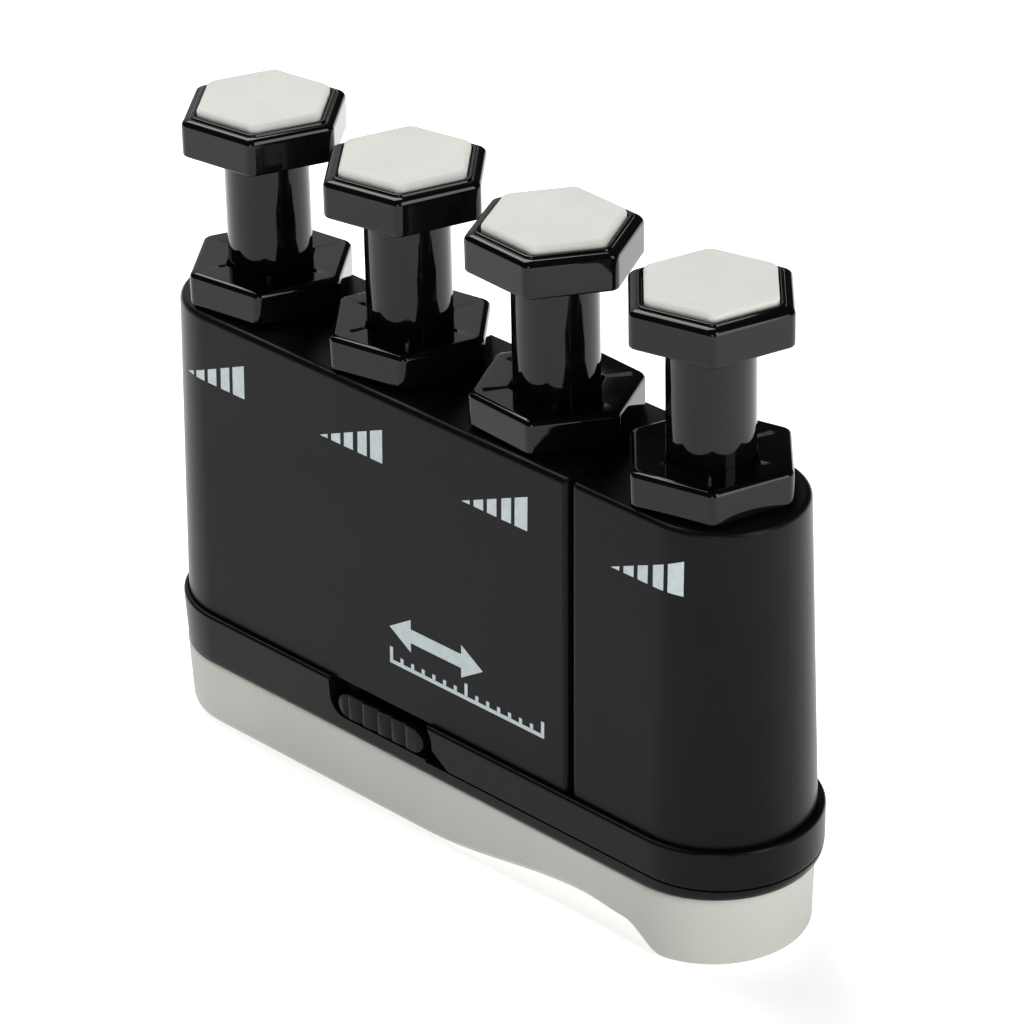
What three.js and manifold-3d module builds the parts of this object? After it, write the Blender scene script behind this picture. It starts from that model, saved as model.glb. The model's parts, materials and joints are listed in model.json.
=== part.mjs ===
// Finger exerciser: four sprung pistons in a row above a soft palm rest, for hand therapy.
// Each finger presses one hexagonal cap down. Turning a piston's hexagonal collar sets its tension,
// and the end module slides out along +X to suit a wider hand.
// Units are millimetres and +Z is up. +X runs along the row of pistons, and -Y is the printed front.
// The origin is the middle of the underside of the palm rest.
import * as THREE from 'three';
import { mergeVertices } from 'three/addons/utils/BufferGeometryUtils.js';
import Module from 'manifold-3d';

const wasm = await Module();
wasm.setup();

// ---- Driving dimensions -------------------------------------------------------------------------

// Facets of round shapes: sides of a full circle, and steps along an end or corner arc.
const roundSides = 20;
const smallSides = 10;
const endSteps = 8;
const cornerSteps = 2;
const latchEndSteps = 6;

// Row of pistons. The turns are how far each collar stands from flats parallel to the front, and
// every X below is measured from the middle of the row, which stands a little left of the base's middle.
const pistonPitch = 21;
const pistonCount = 4;
const collarTurnsDegrees = [8, 11, -3.5, 14];
const rowShift = -0.25;

// Clearances: between pieces that rest on each other, between pieces that move, and past any piece.
const restGap = 0.1;
const runningGap = 0.3;
const beyond = 60;

// Housing modules: a long bar with round ends that leans in towards its top.
const housingLow = 13.5;
const housingTop = 49.4;
const housingFoot = { left: -42.3, right: 42.45, halfWidth: 10.1 };
const housingHead = { left: -41.65, right: 41.7, halfWidth: 8.9 };
const housingWall = 1.3;
const topPlate = 2;
const housingEdge = 0.5;
const seamX = 21.25;
const seamGap = 0.7;
const seamRadius = 0.6;
const leastRadius = 0.15;

// Base flange around the foot of the housing. It leans in towards its foot, but not at its right end.
const flangeTop = { left: -42.8, right: 43.3, halfWidth: 10.8 };
const flangeLean = 0.3;
const flangeEdge = 0.35;
const lipClearance = 0.12;
const lipTop = 14.1;
const trayLow = 8.4;
const stripTop = 9.5;
const trayFloorTop = 13.4;
const railTop = 13.2;
const carriageLow = 9.7;
const carriageLeft = 1.1;
const guideLeft = 2.4;
const slideTravel = 10.5;

// Guide between the tray and the sliding carriage: a T-section spine and the rails that hook under it.
const spineNeck = 3.7;
const spineHead = 4.9;
const spineHeadLow = 11.6;
const spineRight = seamX - 1;

// Latch: a recess in the front flange, and a ribbed thumb piece that fills most of it.
const recessLeft = -13.4;
const recessFloor = 9.8;
const recessCorner = 2.1;
const latchHead = { left: -12.3, right: 0.4, low: 9.95, high: 12.8, front: -10.6, thick: 1.1 };
const latchRibs = 5;
const latchGrooveRadius = 0.32;
const latchShankX = (latchHead.left + latchHead.right) / 2;
const latchZ = (latchHead.low + latchHead.high) / 2;
const shankRadius = 0.55;
const shankReach = 1;
const discRadius = 1.05;
const discHalfThick = 0.25;
const latchStopY = -5.9;
const latchCoil = { radius: 0.9, wire: 0.15, turns: 3 };

// Detent strip behind the thumb piece: a row of round pockets joined by a slot.
const stripThick = 0.6;
const stripY = -8;
const stripLeft = -14.6;
const stripRight = 13.6;
const stripSunk = 0.4;
const stripHigh = 13.1;
const detentSteps = 3;
const detentPitch = slideTravel / detentSteps;
const pocketRadius = 1.35;
const slotHalfHeight = 1.15;

// The carriage's arm behind the strip, and the hollow in the end of its front rail.
const arm = { left: -9, right: 6, front: -7, thick: 0.5 };
const springStopHalfWidth = 1.6;
const railHollow = { radius: 3, reach: 1.95, z: 12.1 };
const railCorner = { rise: 3.15, right: 4.2 };

// Palm rest: its underside has a long flat, a waist and a lobe under the little finger.
const palmRim = { left: -42.7, right: 42.1, halfWidth: 10.4 };
const palmTop = 8.3;
const palmLean = 0.3;
const palmEdge = 1.6;
const waistDepth = 2.6;
const waistXs = [0, 23, 28.6, 34];
const waistSteps = 18;

// Finger caps and pads.
const hexApothem = 7.95;
const hexCorner = 1.9;
const capLow = 66.7;
const capShoulder = 70.1;
const capTop = 71;
const capChamfer = 1;
const capFootChamfer = 0.25;
const padPocketInset = 1.4;
const padPocketFloor = 69.6;
const padInset = 1.65;
const padTop = 71.8;
const padEdge = 0.75;
const capSocketTop = 68;
const capScrew = { tip: 60.6, radius: 0.7, headRadius: 2, headThick: 0.8, recess: 2.1, clearance: 1 };

// Pistons.
const pistonRadius = 4.45;
const pistonBore = 3;
const pistonTop = 67.8;
const pistonBoreTop = 57.6;
const pistonFlangeRadius = 5.5;
const pistonFlangeThick = 2;
const pistonSpigotLow = 43.6;
const pistonSpigotRadius = 3.6;
const pistonPilotRadius = 0.8;

// Tension collar: a hexagon above the housing and a sleeve inside it.
const collarLow = 49.7;
const collarShoulder = 52.5;
const collarTop = 53.4;
const collarChamfer = 0.7;
const collarBore = 4.85;
const sleeveRadius = 6.9;
const sleeveBore = 6;
const sleeveLow = 15.3;
const sleeveRoof = 48.7;
const boreRadius = sleeveRadius + runningGap;
const keyHalfWidth = 0.9;
const keyReach = 6.4;
const keywayLow = 27.3;

// Retaining ring under the housing's top plate.
const ringTop = housingTop - topPlate - runningGap;
const ringThick = 0.8;
const ringOuter = 7.5;
const ringGroove = 6.5;
const ringGapHalfDegrees = 30;

// Spring seat, which climbs the sleeve's thread as the collar turns.
const threadLead = 6;
const lowStopDegrees = -30;
const seatLowest = 16.3;
const seatThick = 3;
const seatRadius = 5.7;
const seatGrooveDepth = 0.4;
const seatGroove = [0.8, 1.1, 1.5, 1.8];

// Keyed post that stops the seat turning.
const postRadius = 2.2;
const postFlat = 1.7;
const postTop = 29.3;
const postSunk = 0.5;

// Springs.
const springMeanRadius = 4.5;
const springWire = 0.45;
const springTurns = 6;
const springEndGap = 0.15;

// Screws: two up into the main housing and two up into the end housing.
const housingScrewXs = [-pistonPitch, 0];
const housingScrew = { headRadius: 2.3, headThick: 1.9, radius: 1.15, tip: 25.3 };
const endScrewX = seamX + 2.9;
const endScrewYs = [-6.1, 6.1];
const endScrew = { headRadius: 1.7, headThick: 1.4, radius: 0.85, tip: 23.3 };
const bossHoleDepth = 13;
const screwHeadClearance = 0.2;
const bossWall = 1.25;

const pistonXs = Array.from({ length: pistonCount }, (_, i) => (i - (pistonCount - 1) / 2) * pistonPitch);

// ---- Materials ----------------------------------------------------------------------------------

function material(color, roughness, metalness = 0) {
  return new THREE.MeshStandardMaterial({ color, roughness, metalness });
}

const makeSatinBlack = () => material(0x17181a, 0.5);
const makeGlossBlack = () => material(0x0b0b0d, 0.12);
const makePadGrey = () => material(0xdcdcd6, 0.6);
const makePalmGrey = () => material(0xb4b6ac, 0.65);
const makeSpringSteel = () => material(0x9a9c9f, 0.3, 1);
const makeZinc = () => material(0xb8babd, 0.35, 1);
const makeNatural = () => material(0xd9d6c8, 0.5);

// ---- Solids -------------------------------------------------------------------------------------

// Turns a closed three.js geometry into a solid.
function solid(geometry) {
  const plain = geometry.index ? geometry.toNonIndexed() : geometry.clone();
  plain.deleteAttribute('normal');
  plain.deleteAttribute('uv');
  const merged = mergeVertices(plain, 1e-4);
  return new wasm.Manifold(new wasm.Mesh({
    numProp: 3,
    vertProperties: merged.attributes.position.array,
    triVerts: new Uint32Array(merged.index.array),
  }));
}

function geometryOf(manifold) {
  const mesh = manifold.getMesh();
  const geometry = new THREE.BufferGeometry();
  geometry.setAttribute('position', new THREE.BufferAttribute(mesh.vertProperties, 3));
  geometry.setIndex(new THREE.BufferAttribute(mesh.triVerts, 1));
  return geometry;
}

const join = (first, ...others) => others.reduce((sum, next) => sum.add(next), first);
const cut = (first, ...others) => others.reduce((rest, next) => rest.subtract(next), first);

// Stacks outlines of equal point count, lowest first, into one closed solid.
function stack(rings) {
  const count = rings[0].points.length;
  const positions = [];
  for (const ring of rings) {
    for (const p of ring.points) {
      positions.push(p.x, p.y, ring.z);
    }
  }
  const index = [];
  for (let level = 0; level < rings.length - 1; level += 1) {
    for (let i = 0; i < count; i += 1) {
      const a = level * count + i;
      const b = level * count + (i + 1) % count;
      index.push(a, b, b + count, a, b + count, a + count);
    }
  }
  const top = (rings.length - 1) * count;
  for (const [a, b, c] of THREE.ShapeUtils.triangulateShape(rings[0].points, [])) {
    index.push(a, c, b);
  }
  for (const [a, b, c] of THREE.ShapeUtils.triangulateShape(rings.at(-1).points, [])) {
    index.push(top + a, top + b, top + c);
  }
  const geometry = new THREE.BufferGeometry();
  geometry.setAttribute('position', new THREE.Float32BufferAttribute(positions, 3));
  geometry.setIndex(index);
  return solid(geometry);
}

// A stack whose rings come from one outline function of inset and height, as [inset, z] pairs.
function insetStack(outlineAt, levels) {
  return stack(levels.map(([inset, z]) => ({ points: outlineAt(inset, z), z })));
}

const prism = (points, low, high) => stack([{ points, z: low }, { points, z: high }]);

function box(xLow, xHigh, yLow, yHigh, low, high) {
  const geometry = new THREE.BoxGeometry(xHigh - xLow, yHigh - yLow, high - low);
  geometry.translate((xLow + xHigh) / 2, (yLow + yHigh) / 2, (low + high) / 2);
  return solid(geometry);
}

function cylinder(radius, low, high, x = 0, y = 0, sides = roundSides) {
  const geometry = new THREE.CylinderGeometry(radius, radius, high - low, sides);
  geometry.rotateX(Math.PI / 2);
  geometry.translate(x, y, (low + high) / 2);
  return solid(geometry);
}

// A cylinder along Y.
function crossCylinder(radius, yLow, yHigh, x, z, sides = roundSides) {
  const geometry = new THREE.CylinderGeometry(radius, radius, yHigh - yLow, sides);
  geometry.translate(x, (yLow + yHigh) / 2, z);
  return solid(geometry);
}

// Extrudes an outline drawn in X and Z through a stretch of Y.
function crossPrism(outline, yLow, yHigh) {
  const geometry = new THREE.ExtrudeGeometry(new THREE.Shape(outline), {
    depth: yHigh - yLow,
    bevelEnabled: false,
  });
  geometry.rotateX(Math.PI / 2);
  geometry.translate(0, yHigh, 0);
  return solid(geometry);
}

function lathe(profile, sides = roundSides) {
  const geometry = new THREE.LatheGeometry(profile.map(([r, z]) => new THREE.Vector2(r, z)), sides);
  geometry.rotateX(Math.PI / 2);
  return solid(geometry);
}

// ---- Outlines -----------------------------------------------------------------------------------

function arc(centreX, centreY, radius, fromDegrees, toDegrees, steps) {
  const points = [];
  for (let i = 0; i <= steps; i += 1) {
    const angle = THREE.MathUtils.degToRad(fromDegrees + (toDegrees - fromDegrees) * i / steps);
    points.push(new THREE.Vector2(centreX + radius * Math.cos(angle), centreY + radius * Math.sin(angle)));
  }
  return points;
}

// A bar seen from above, with a corner radius of its own at each end.
function barOutline(xLow, xHigh, halfWidth, lowRadius, highRadius, steps = endSteps) {
  const lowY = halfWidth - lowRadius;
  const highY = halfWidth - highRadius;
  return [
    ...arc(xHigh - highRadius, -highY, highRadius, -90, 0, steps),
    ...arc(xHigh - highRadius, highY, highRadius, 0.01, 90, steps),
    ...arc(xLow + lowRadius, lowY, lowRadius, 90, 180, steps),
    ...arc(xLow + lowRadius, -lowY, lowRadius, 180.01, 270, steps),
  ];
}

// A bar with fully round ends, from its left, right and half width, grown by a margin.
function roundBar(shape, margin = 0) {
  const halfWidth = shape.halfWidth + margin;
  const radius = halfWidth - 0.01;
  return barOutline(shape.left - margin, shape.right + margin, halfWidth, radius, radius);
}

// A hexagon with rounded corners and its flats facing +Y and -Y.
function hexOutline(apothem, cornerRadius, steps = cornerSteps) {
  const centreReach = (apothem - cornerRadius) / Math.cos(Math.PI / 6);
  const points = [];
  for (let k = 0; k < 6; k += 1) {
    const angle = THREE.MathUtils.degToRad(60 * k);
    const x = centreReach * Math.cos(angle);
    const y = centreReach * Math.sin(angle);
    points.push(...arc(x, y, cornerRadius, 60 * k - 30, 60 * k + 30, steps));
  }
  return points;
}

const hexInset = (inset) => hexOutline(hexApothem - inset, hexCorner - inset / 2);

// ---- Housing modules ----------------------------------------------------------------------------

// Left, right and half width of the housing at a height.
function housingShape(z) {
  const share = THREE.MathUtils.inverseLerp(housingLow, housingTop, z);
  const between = (key) => THREE.MathUtils.lerp(housingFoot[key], housingHead[key], share);
  return { left: between('left'), right: between('right'), halfWidth: between('halfWidth') };
}

// A hollow module, open underneath, with a bore for each collar. The outline takes an inset and a height.
function housingModule(outline, boreXs) {
  const shell = insetStack(outline, [
    [0, housingLow],
    [0, housingTop - housingEdge],
    [housingEdge * 0.3, housingTop - housingEdge * 0.3],
    [housingEdge, housingTop],
  ]);
  const hollow = insetStack(outline, [
    [housingWall, housingLow - 1],
    [housingWall, housingTop - topPlate],
  ]);
  const bores = boreXs.map((x) => cylinder(boreRadius, housingTop - topPlate - 1, housingTop + 1, x));
  return cut(shell, hollow, ...bores);
}

// Adds bosses that hang from the underside of the top plate, each at [x, y], with a hole for its screw.
function withBosses(shell, screw, places) {
  const posts = places.map(([x, y]) => (
    cylinder(screw.radius + bossWall, housingLow + restGap, housingTop - topPlate / 2, x, y)
  ));
  const holes = places.map(([x, y]) => (
    cylinder(screw.radius + restGap, housingLow - 1, housingLow + bossHoleDepth, x, y, smallSides)
  ));
  return cut(join(shell, ...posts), ...holes);
}

function makeMainHousing() {
  const outline = (inset, z) => {
    const shape = housingShape(z);
    const halfWidth = shape.halfWidth - inset;
    const seamSide = Math.max(seamRadius - inset, leastRadius);
    return barOutline(shape.left + inset, seamX - seamGap / 2 - inset, halfWidth, halfWidth - 0.01, seamSide);
  };
  return withBosses(
    housingModule(outline, pistonXs.slice(0, -1)),
    housingScrew,
    housingScrewXs.map((x) => [x, 0]),
  );
}

function makeEndHousing() {
  const outline = (inset, z) => {
    const shape = housingShape(z);
    const halfWidth = shape.halfWidth - inset;
    const seamSide = Math.max(seamRadius - inset, leastRadius);
    return barOutline(seamX + seamGap / 2 + inset, shape.right - inset, halfWidth, seamSide, halfWidth - 0.01);
  };
  return withBosses(
    housingModule(outline, pistonXs.slice(-1)),
    endScrew,
    endScrewYs.map((y) => [endScrewX, y]),
  );
}

// ---- Base tray and sliding carriage ---------------------------------------------------------------

// The flange's outline at a height.
function flangeOutline(z) {
  const lean = THREE.MathUtils.mapLinear(z, lipTop, trayLow, 0, flangeLean);
  return roundBar({
    left: flangeTop.left + lean,
    right: flangeTop.right,
    halfWidth: flangeTop.halfWidth - lean,
  });
}

// The flange's full outer block between two heights, with a small edge at the top of the lip.
function flangeBlock(low, high) {
  if (high < lipTop) {
    return stack([low, high].map((z) => ({ points: flangeOutline(z), z })));
  }
  return stack([
    { points: flangeOutline(low), z: low },
    { points: flangeOutline(lipTop - flangeEdge), z: lipTop - flangeEdge },
    { points: roundBar(flangeTop, -flangeEdge), z: lipTop },
  ]);
}

// What is cut away inside the lip, above a floor height.
const insideLip = (floor) => prism(roundBar(housingFoot, lipClearance), floor, lipTop + 1);

function keyedPost(x, low) {
  const round = cylinder(postRadius, low, postTop, x);
  return round.intersect(box(x - postRadius, x + postRadius, -postFlat, postFlat, low, postTop));
}

// Counterbored holes for a pair of screws whose heads sit just inside the underside of a plate.
function screwHoles(screw, plateLow, places) {
  return places.flatMap(([x, y]) => [
    cylinder(screw.radius + runningGap, 0, lipTop, x, y, smallSides),
    cylinder(screw.headRadius + screwHeadClearance, 0, plateLow + screw.headThick + 0.2, x, y),
  ]);
}

// The recess around the latch in the front flange, rounded at its lower left corner.
function latchRecess() {
  const outline = [
    new THREE.Vector2(recessLeft, lipTop + 1),
    ...arc(recessLeft + recessCorner, recessFloor + recessCorner, recessCorner, 180, 270, latchEndSteps),
    new THREE.Vector2(slideTravel, recessFloor),
    new THREE.Vector2(slideTravel, lipTop + 1),
  ];
  return crossPrism(outline, -beyond, -spineNeck - runningGap);
}

// The left end of the flange is fixed, and a thin strip runs on under the sliding carriage.
function makeBaseTray() {
  const foot = flangeBlock(trayLow, stripTop);
  const carriageSpace = box(carriageLeft - runningGap, beyond, -beyond, beyond, stripTop, lipTop + 1);
  const upper = cut(flangeBlock(stripTop, lipTop), insideLip(trayFloorTop), carriageSpace);
  const neck = box(0, spineRight, -spineNeck, spineNeck, stripTop - restGap, trayFloorTop);
  const head = box(guideLeft, spineRight, -spineHead, spineHead, spineHeadLow, trayFloorTop);
  const detentSlot = box(
    stripLeft - restGap,
    stripRight + restGap,
    stripY - stripThick / 2 - restGap,
    stripY + stripThick / 2 + restGap,
    stripTop - stripSunk - restGap,
    lipTop + 1,
  );
  const posts = pistonXs.slice(0, -1).map((x) => keyedPost(x, trayFloorTop - postSunk));
  const armSpace = box(
    arm.left - runningGap,
    guideLeft,
    arm.front - runningGap,
    -spineNeck,
    stripTop,
    lipTop + 1,
  );
  const holes = screwHoles(housingScrew, trayLow, housingScrewXs.map((x) => [x, 0]));
  return cut(join(foot, upper, neck, head, ...posts), latchRecess(), armSpace, detentSlot, ...holes);
}

// The steel strip that the latch's disc sits in. The slot lets the disc pass from pocket to pocket.
function makeDetentStrip() {
  const strip = box(
    stripLeft,
    stripRight,
    stripY - stripThick / 2,
    stripY + stripThick / 2,
    stripTop - stripSunk,
    stripHigh,
  );
  const slot = box(
    latchShankX,
    latchShankX + slideTravel,
    -beyond,
    beyond,
    latchZ - slotHalfHeight,
    latchZ + slotHalfHeight,
  );
  const pockets = Array.from({ length: detentSteps + 1 }, (_, i) => (
    crossCylinder(pocketRadius, -beyond, beyond, latchShankX + i * detentPitch, latchZ)
  ));
  return cut(strip, slot, ...pockets);
}

// What is cut from the front rail's left end: a round hollow that clears the thumb piece, and the lower corner.
function railEnd() {
  const hollow = crossCylinder(
    railHollow.radius,
    -beyond,
    -spineNeck,
    railHollow.reach - railHollow.radius,
    railHollow.z,
    2 * roundSides,
  );
  const corner = crossPrism([
    new THREE.Vector2(carriageLeft - 1, carriageLow + railCorner.rise),
    new THREE.Vector2(carriageLeft - 1, 0),
    new THREE.Vector2(railCorner.right, 0),
    new THREE.Vector2(railCorner.right, carriageLow),
  ], -beyond, -spineNeck);
  return join(hollow, corner);
}

// The end module stands on this carriage. Two rails reach back along the tray's spine, and an arm from
// the front rail carries the latch spring behind the detent strip.
function makeSlideCarriage() {
  const block = cut(
    flangeBlock(carriageLow, lipTop),
    box(-beyond, carriageLeft, -beyond, beyond, 0, beyond),
    railEnd(),
  );
  const underMainHousing = insideLip(railTop).intersect(box(-beyond, seamX, -beyond, beyond, 0, beyond));
  const neckSpace = box(-beyond, seamX, -spineNeck - runningGap, spineNeck + runningGap, 0, beyond);
  const headSpace = box(
    -beyond,
    seamX,
    -spineHead - runningGap,
    spineHead + runningGap,
    spineHeadLow - runningGap,
    beyond,
  );
  const stripSpace = box(
    -beyond,
    stripRight + runningGap,
    stripY - stripThick / 2 - runningGap,
    stripY + stripThick / 2 + runningGap,
    0,
    beyond,
  );
  const armBack = -spineHead - runningGap;
  const armBar = box(arm.left, arm.right, arm.front, armBack, carriageLow, carriageLow + arm.thick);
  const springStop = box(
    latchShankX - springStopHalfWidth,
    latchShankX + springStopHalfWidth,
    latchStopY,
    armBack,
    carriageLow,
    railTop,
  );
  const post = keyedPost(pistonXs.at(-1), trayFloorTop - postSunk);
  const body = cut(block, insideLip(trayFloorTop), underMainHousing, neckSpace, headSpace, stripSpace);
  const holes = screwHoles(endScrew, carriageLow, endScrewYs.map((y) => [endScrewX, y]));
  return cut(join(body, armBar, springStop, post), ...holes);
}

// ---- Latch --------------------------------------------------------------------------------------

// A ribbed thumb piece on a thin shank, with a disc that sits in a pocket of the detent strip.
function makeLatchButton() {
  const back = latchHead.front + latchHead.thick;
  const height = latchHead.high - latchHead.low;
  const radius = height / 2 - 0.01;
  const plan = barOutline(latchHead.left, latchHead.right, height / 2, radius, radius, latchEndSteps);
  const plate = crossPrism(plan.map((p) => new THREE.Vector2(p.x, p.y + latchZ)), latchHead.front, back);
  const firstRib = latchHead.left + radius / 2;
  const ribPitch = (latchHead.right - radius / 2 - firstRib) / latchRibs;
  const grooves = Array.from({ length: latchRibs }, (_, i) => (
    cylinder(latchGrooveRadius, 0, beyond, firstRib + ribPitch * i, latchHead.front, smallSides)
  ));
  const shankEnd = stripY + shankReach;
  const shank = crossCylinder(shankRadius, back - restGap, shankEnd, latchShankX, latchZ, smallSides);
  const disc = crossCylinder(discRadius, stripY - discHalfThick, stripY + discHalfThick, latchShankX, latchZ);
  return join(cut(plate, ...grooves), shank, disc);
}

// The coil behind the latch's disc.
function makeLatchSpring() {
  const start = stripY + discHalfThick + springEndGap;
  const end = latchStopY - springEndGap;
  const geometry = coil(latchCoil.radius, latchCoil.wire, latchCoil.turns, end - start, 8, 5);
  geometry.rotateX(-Math.PI / 2);
  geometry.translate(latchShankX, start, latchZ);
  return solid(geometry);
}

// ---- Palm rest ----------------------------------------------------------------------------------

// Height of the underside above the lowest plane, along the palm rest.
function undersideHeight(x) {
  const [start, crestLow, crestHigh, end] = waistXs;
  const rise = THREE.MathUtils.smoothstep(x, start, crestLow);
  const fall = THREE.MathUtils.smoothstep(x, crestHigh, end);
  return waistDepth * (rise - fall);
}

function makePalmRest() {
  const block = insetStack((inset) => roundBar(palmRim, -inset), [
    [palmLean + palmEdge, 0],
    [palmLean + palmEdge * 0.45, palmEdge * 0.3],
    [palmLean + palmEdge * 0.1, palmEdge],
    [0, palmTop],
  ]);
  const [start, , , end] = waistXs;
  const waist = [new THREE.Vector2(end, -palmTop), new THREE.Vector2(start, -palmTop)];
  for (let i = 1; i < waistSteps; i += 1) {
    const x = THREE.MathUtils.lerp(start, end, i / waistSteps);
    waist.push(new THREE.Vector2(x, undersideHeight(x)));
  }
  return cut(block, crossPrism(waist, -beyond, beyond));
}

// ---- One piston unit, about its own axis ----------------------------------------------------------

function makeCap() {
  const body = insetStack(hexInset, [
    [capFootChamfer, capLow],
    [0, capLow + capFootChamfer],
    [0, capShoulder],
    [capChamfer / 2, (capShoulder + capTop) / 2],
    [capChamfer, capTop],
  ]);
  const pocket = insetStack(hexInset, [[padPocketInset, padPocketFloor], [padPocketInset, capTop + 1]]);
  const socket = cylinder(pistonRadius + restGap, capLow - 1, capSocketTop);
  const screwHole = cylinder(capScrew.clearance, capLow - 1, capTop + 1, 0, 0, smallSides);
  const screwHead = cylinder(capScrew.recess, padPocketFloor - capScrew.headThick - 0.2, capTop + 1);
  return cut(body, pocket, socket, screwHole, screwHead);
}

function makePad() {
  return insetStack(hexInset, [
    [padInset, padPocketFloor + restGap],
    [padInset, padTop - padEdge],
    [padInset + padEdge * 0.3, padTop - padEdge * 0.3],
    [padInset + padEdge, padTop],
  ]);
}

function makePiston() {
  const flangeTop = sleeveRoof - runningGap;
  const flangeLow = flangeTop - pistonFlangeThick;
  const body = lathe([
    [0, pistonBoreTop],
    [pistonBore, pistonBoreTop],
    [pistonBore, pistonSpigotLow],
    [pistonSpigotRadius, pistonSpigotLow],
    [pistonSpigotRadius, flangeLow],
    [pistonFlangeRadius, flangeLow],
    [pistonFlangeRadius, flangeTop],
    [pistonRadius, flangeTop],
    [pistonRadius, pistonTop],
    [0, pistonTop],
  ]);
  const keyHalf = keyHalfWidth - runningGap;
  const keyEnd = keyReach - runningGap;
  const keys = box(-keyEnd, keyEnd, -keyHalf, keyHalf, flangeLow, flangeTop);
  const hollow = cylinder(pistonBore, flangeLow - 1, flangeTop + 1);
  const pilot = cylinder(pistonPilotRadius, pistonBoreTop + 1, pistonTop + 1, 0, 0, smallSides);
  return cut(join(body, cut(keys, hollow)), pilot);
}

function makeCollar() {
  const head = insetStack(hexInset, [
    [capFootChamfer, collarLow],
    [0, collarLow + capFootChamfer],
    [0, collarShoulder],
    [collarChamfer * 0.3, collarTop - collarChamfer * 0.3],
    [collarChamfer, collarTop],
  ]);
  const sleeve = cylinder(sleeveRadius, sleeveLow, collarLow + 0.5);
  const sleeveHollow = cylinder(sleeveBore, sleeveLow - 1, sleeveRoof);
  const bore = cylinder(collarBore, sleeveRoof - 1, collarTop + 1);
  const keyways = box(-keyReach, keyReach, -keyHalfWidth, keyHalfWidth, keywayLow, sleeveRoof);
  const groove = cut(
    cylinder(sleeveRadius + 1, ringTop - ringThick - restGap, ringTop + restGap),
    cylinder(ringGroove, 0, beyond),
  );
  return cut(join(head, sleeve), sleeveHollow, bore, keyways, groove);
}

function makeRetainingRing() {
  const inner = ringGroove + restGap;
  const from = ringGapHalfDegrees;
  const outline = [
    ...arc(0, 0, ringOuter, from, 360 - from, roundSides),
    ...arc(0, 0, inner, 360 - from, from, roundSides),
  ];
  return prism(outline, ringTop - ringThick, ringTop);
}

// The seat's outer thread is drawn as plain collars with a groove between them.
function makeSpringSeat() {
  const [grooveStart, floorStart, floorEnd, grooveEnd] = seatGroove;
  const body = lathe([
    [0, seatLowest],
    [seatRadius, seatLowest],
    [seatRadius, seatLowest + grooveStart],
    [seatRadius - seatGrooveDepth, seatLowest + floorStart],
    [seatRadius - seatGrooveDepth, seatLowest + floorEnd],
    [seatRadius, seatLowest + grooveEnd],
    [seatRadius, seatLowest + seatThick],
    [0, seatLowest + seatThick],
  ]);
  const flat = postFlat + runningGap;
  const hole = cylinder(postRadius + runningGap, 0, beyond)
    .intersect(box(-beyond, beyond, -flat, flat, 0, beyond));
  return cut(body, hole);
}

class Helix extends THREE.Curve {
  constructor(radius, turns, rise) {
    super();
    this.radius = radius;
    this.turns = turns;
    this.rise = rise;
  }

  getPoint(t, target = new THREE.Vector3()) {
    const angle = 2 * Math.PI * this.turns * t;
    return target.set(this.radius * Math.cos(angle), this.radius * Math.sin(angle), this.rise * t);
  }
}

// A coil that stands between z = 0 and z = height.
function coil(radius, wire, turns, height, stepsPerTurn, sides) {
  const section = new THREE.Shape(arc(0, 0, wire, 0, 360 - 360 / sides, sides - 1));
  const geometry = new THREE.ExtrudeGeometry(section, {
    steps: turns * stepsPerTurn,
    bevelEnabled: false,
    extrudePath: new Helix(radius, turns, height - 2 * wire),
  });
  geometry.translate(0, 0, wire);
  return geometry;
}

function makeSpring(low, high) {
  const geometry = coil(springMeanRadius, springWire, springTurns, high - low, 8, 4);
  geometry.translate(0, 0, low);
  return solid(geometry);
}

// A pan-head screw that points up, about its own axis.
function makeScrew(size, headLow) {
  const headTop = headLow + size.headThick;
  return lathe([
    [0, headLow],
    [size.headRadius * 0.85, headLow],
    [size.headRadius, headLow + size.headThick * 0.4],
    [size.headRadius, headTop],
    [size.radius, headTop],
    [size.radius, size.tip - size.radius],
    [0, size.tip],
  ], smallSides);
}

// The screw that holds a cap on its piston points down, with its head under the pad.
function makeCapScrew() {
  const headTop = padPocketFloor - restGap;
  const headLow = headTop - capScrew.headThick;
  return lathe([
    [0, capScrew.tip],
    [capScrew.radius, capScrew.tip + capScrew.radius],
    [capScrew.radius, headLow],
    [capScrew.headRadius, headLow],
    [capScrew.headRadius, headTop],
    [0, headTop],
  ], smallSides);
}

// ---- Assembly -------------------------------------------------------------------------------------

const exerciser = new THREE.Group();
const row = new THREE.Group();
row.position.x = rowShift;
exerciser.add(row);

function addPiece(parent, name, manifold, pieceMaterial) {
  const mesh = new THREE.Mesh(geometryOf(manifold), pieceMaterial);
  mesh.name = name;
  parent.add(mesh);
  return mesh;
}

addPiece(row, 'palm_rest', makePalmRest(), makePalmGrey());
addPiece(row, 'base_tray', makeBaseTray(), makeSatinBlack());
addPiece(row, 'detent_strip', makeDetentStrip(), makeZinc());
addPiece(row, 'main_housing', makeMainHousing(), makeSatinBlack());
addPiece(row, 'end_housing', makeEndHousing(), makeSatinBlack());
addPiece(row, 'slide_carriage', makeSlideCarriage(), makeSatinBlack());
addPiece(row, 'latch_button', makeLatchButton(), makeSatinBlack());
addPiece(row, 'latch_spring', makeLatchSpring(), makeSpringSteel());

housingScrewXs.forEach((x, i) => {
  const piece = addPiece(row, `housing_screw_${i + 1}`, makeScrew(housingScrew, trayLow + restGap), makeZinc());
  piece.position.x = x;
});

endScrewYs.forEach((y, i) => {
  const piece = addPiece(row, `end_screw_${i + 1}`, makeScrew(endScrew, carriageLow + restGap), makeZinc());
  piece.position.set(endScrewX, y, 0);
});

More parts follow.
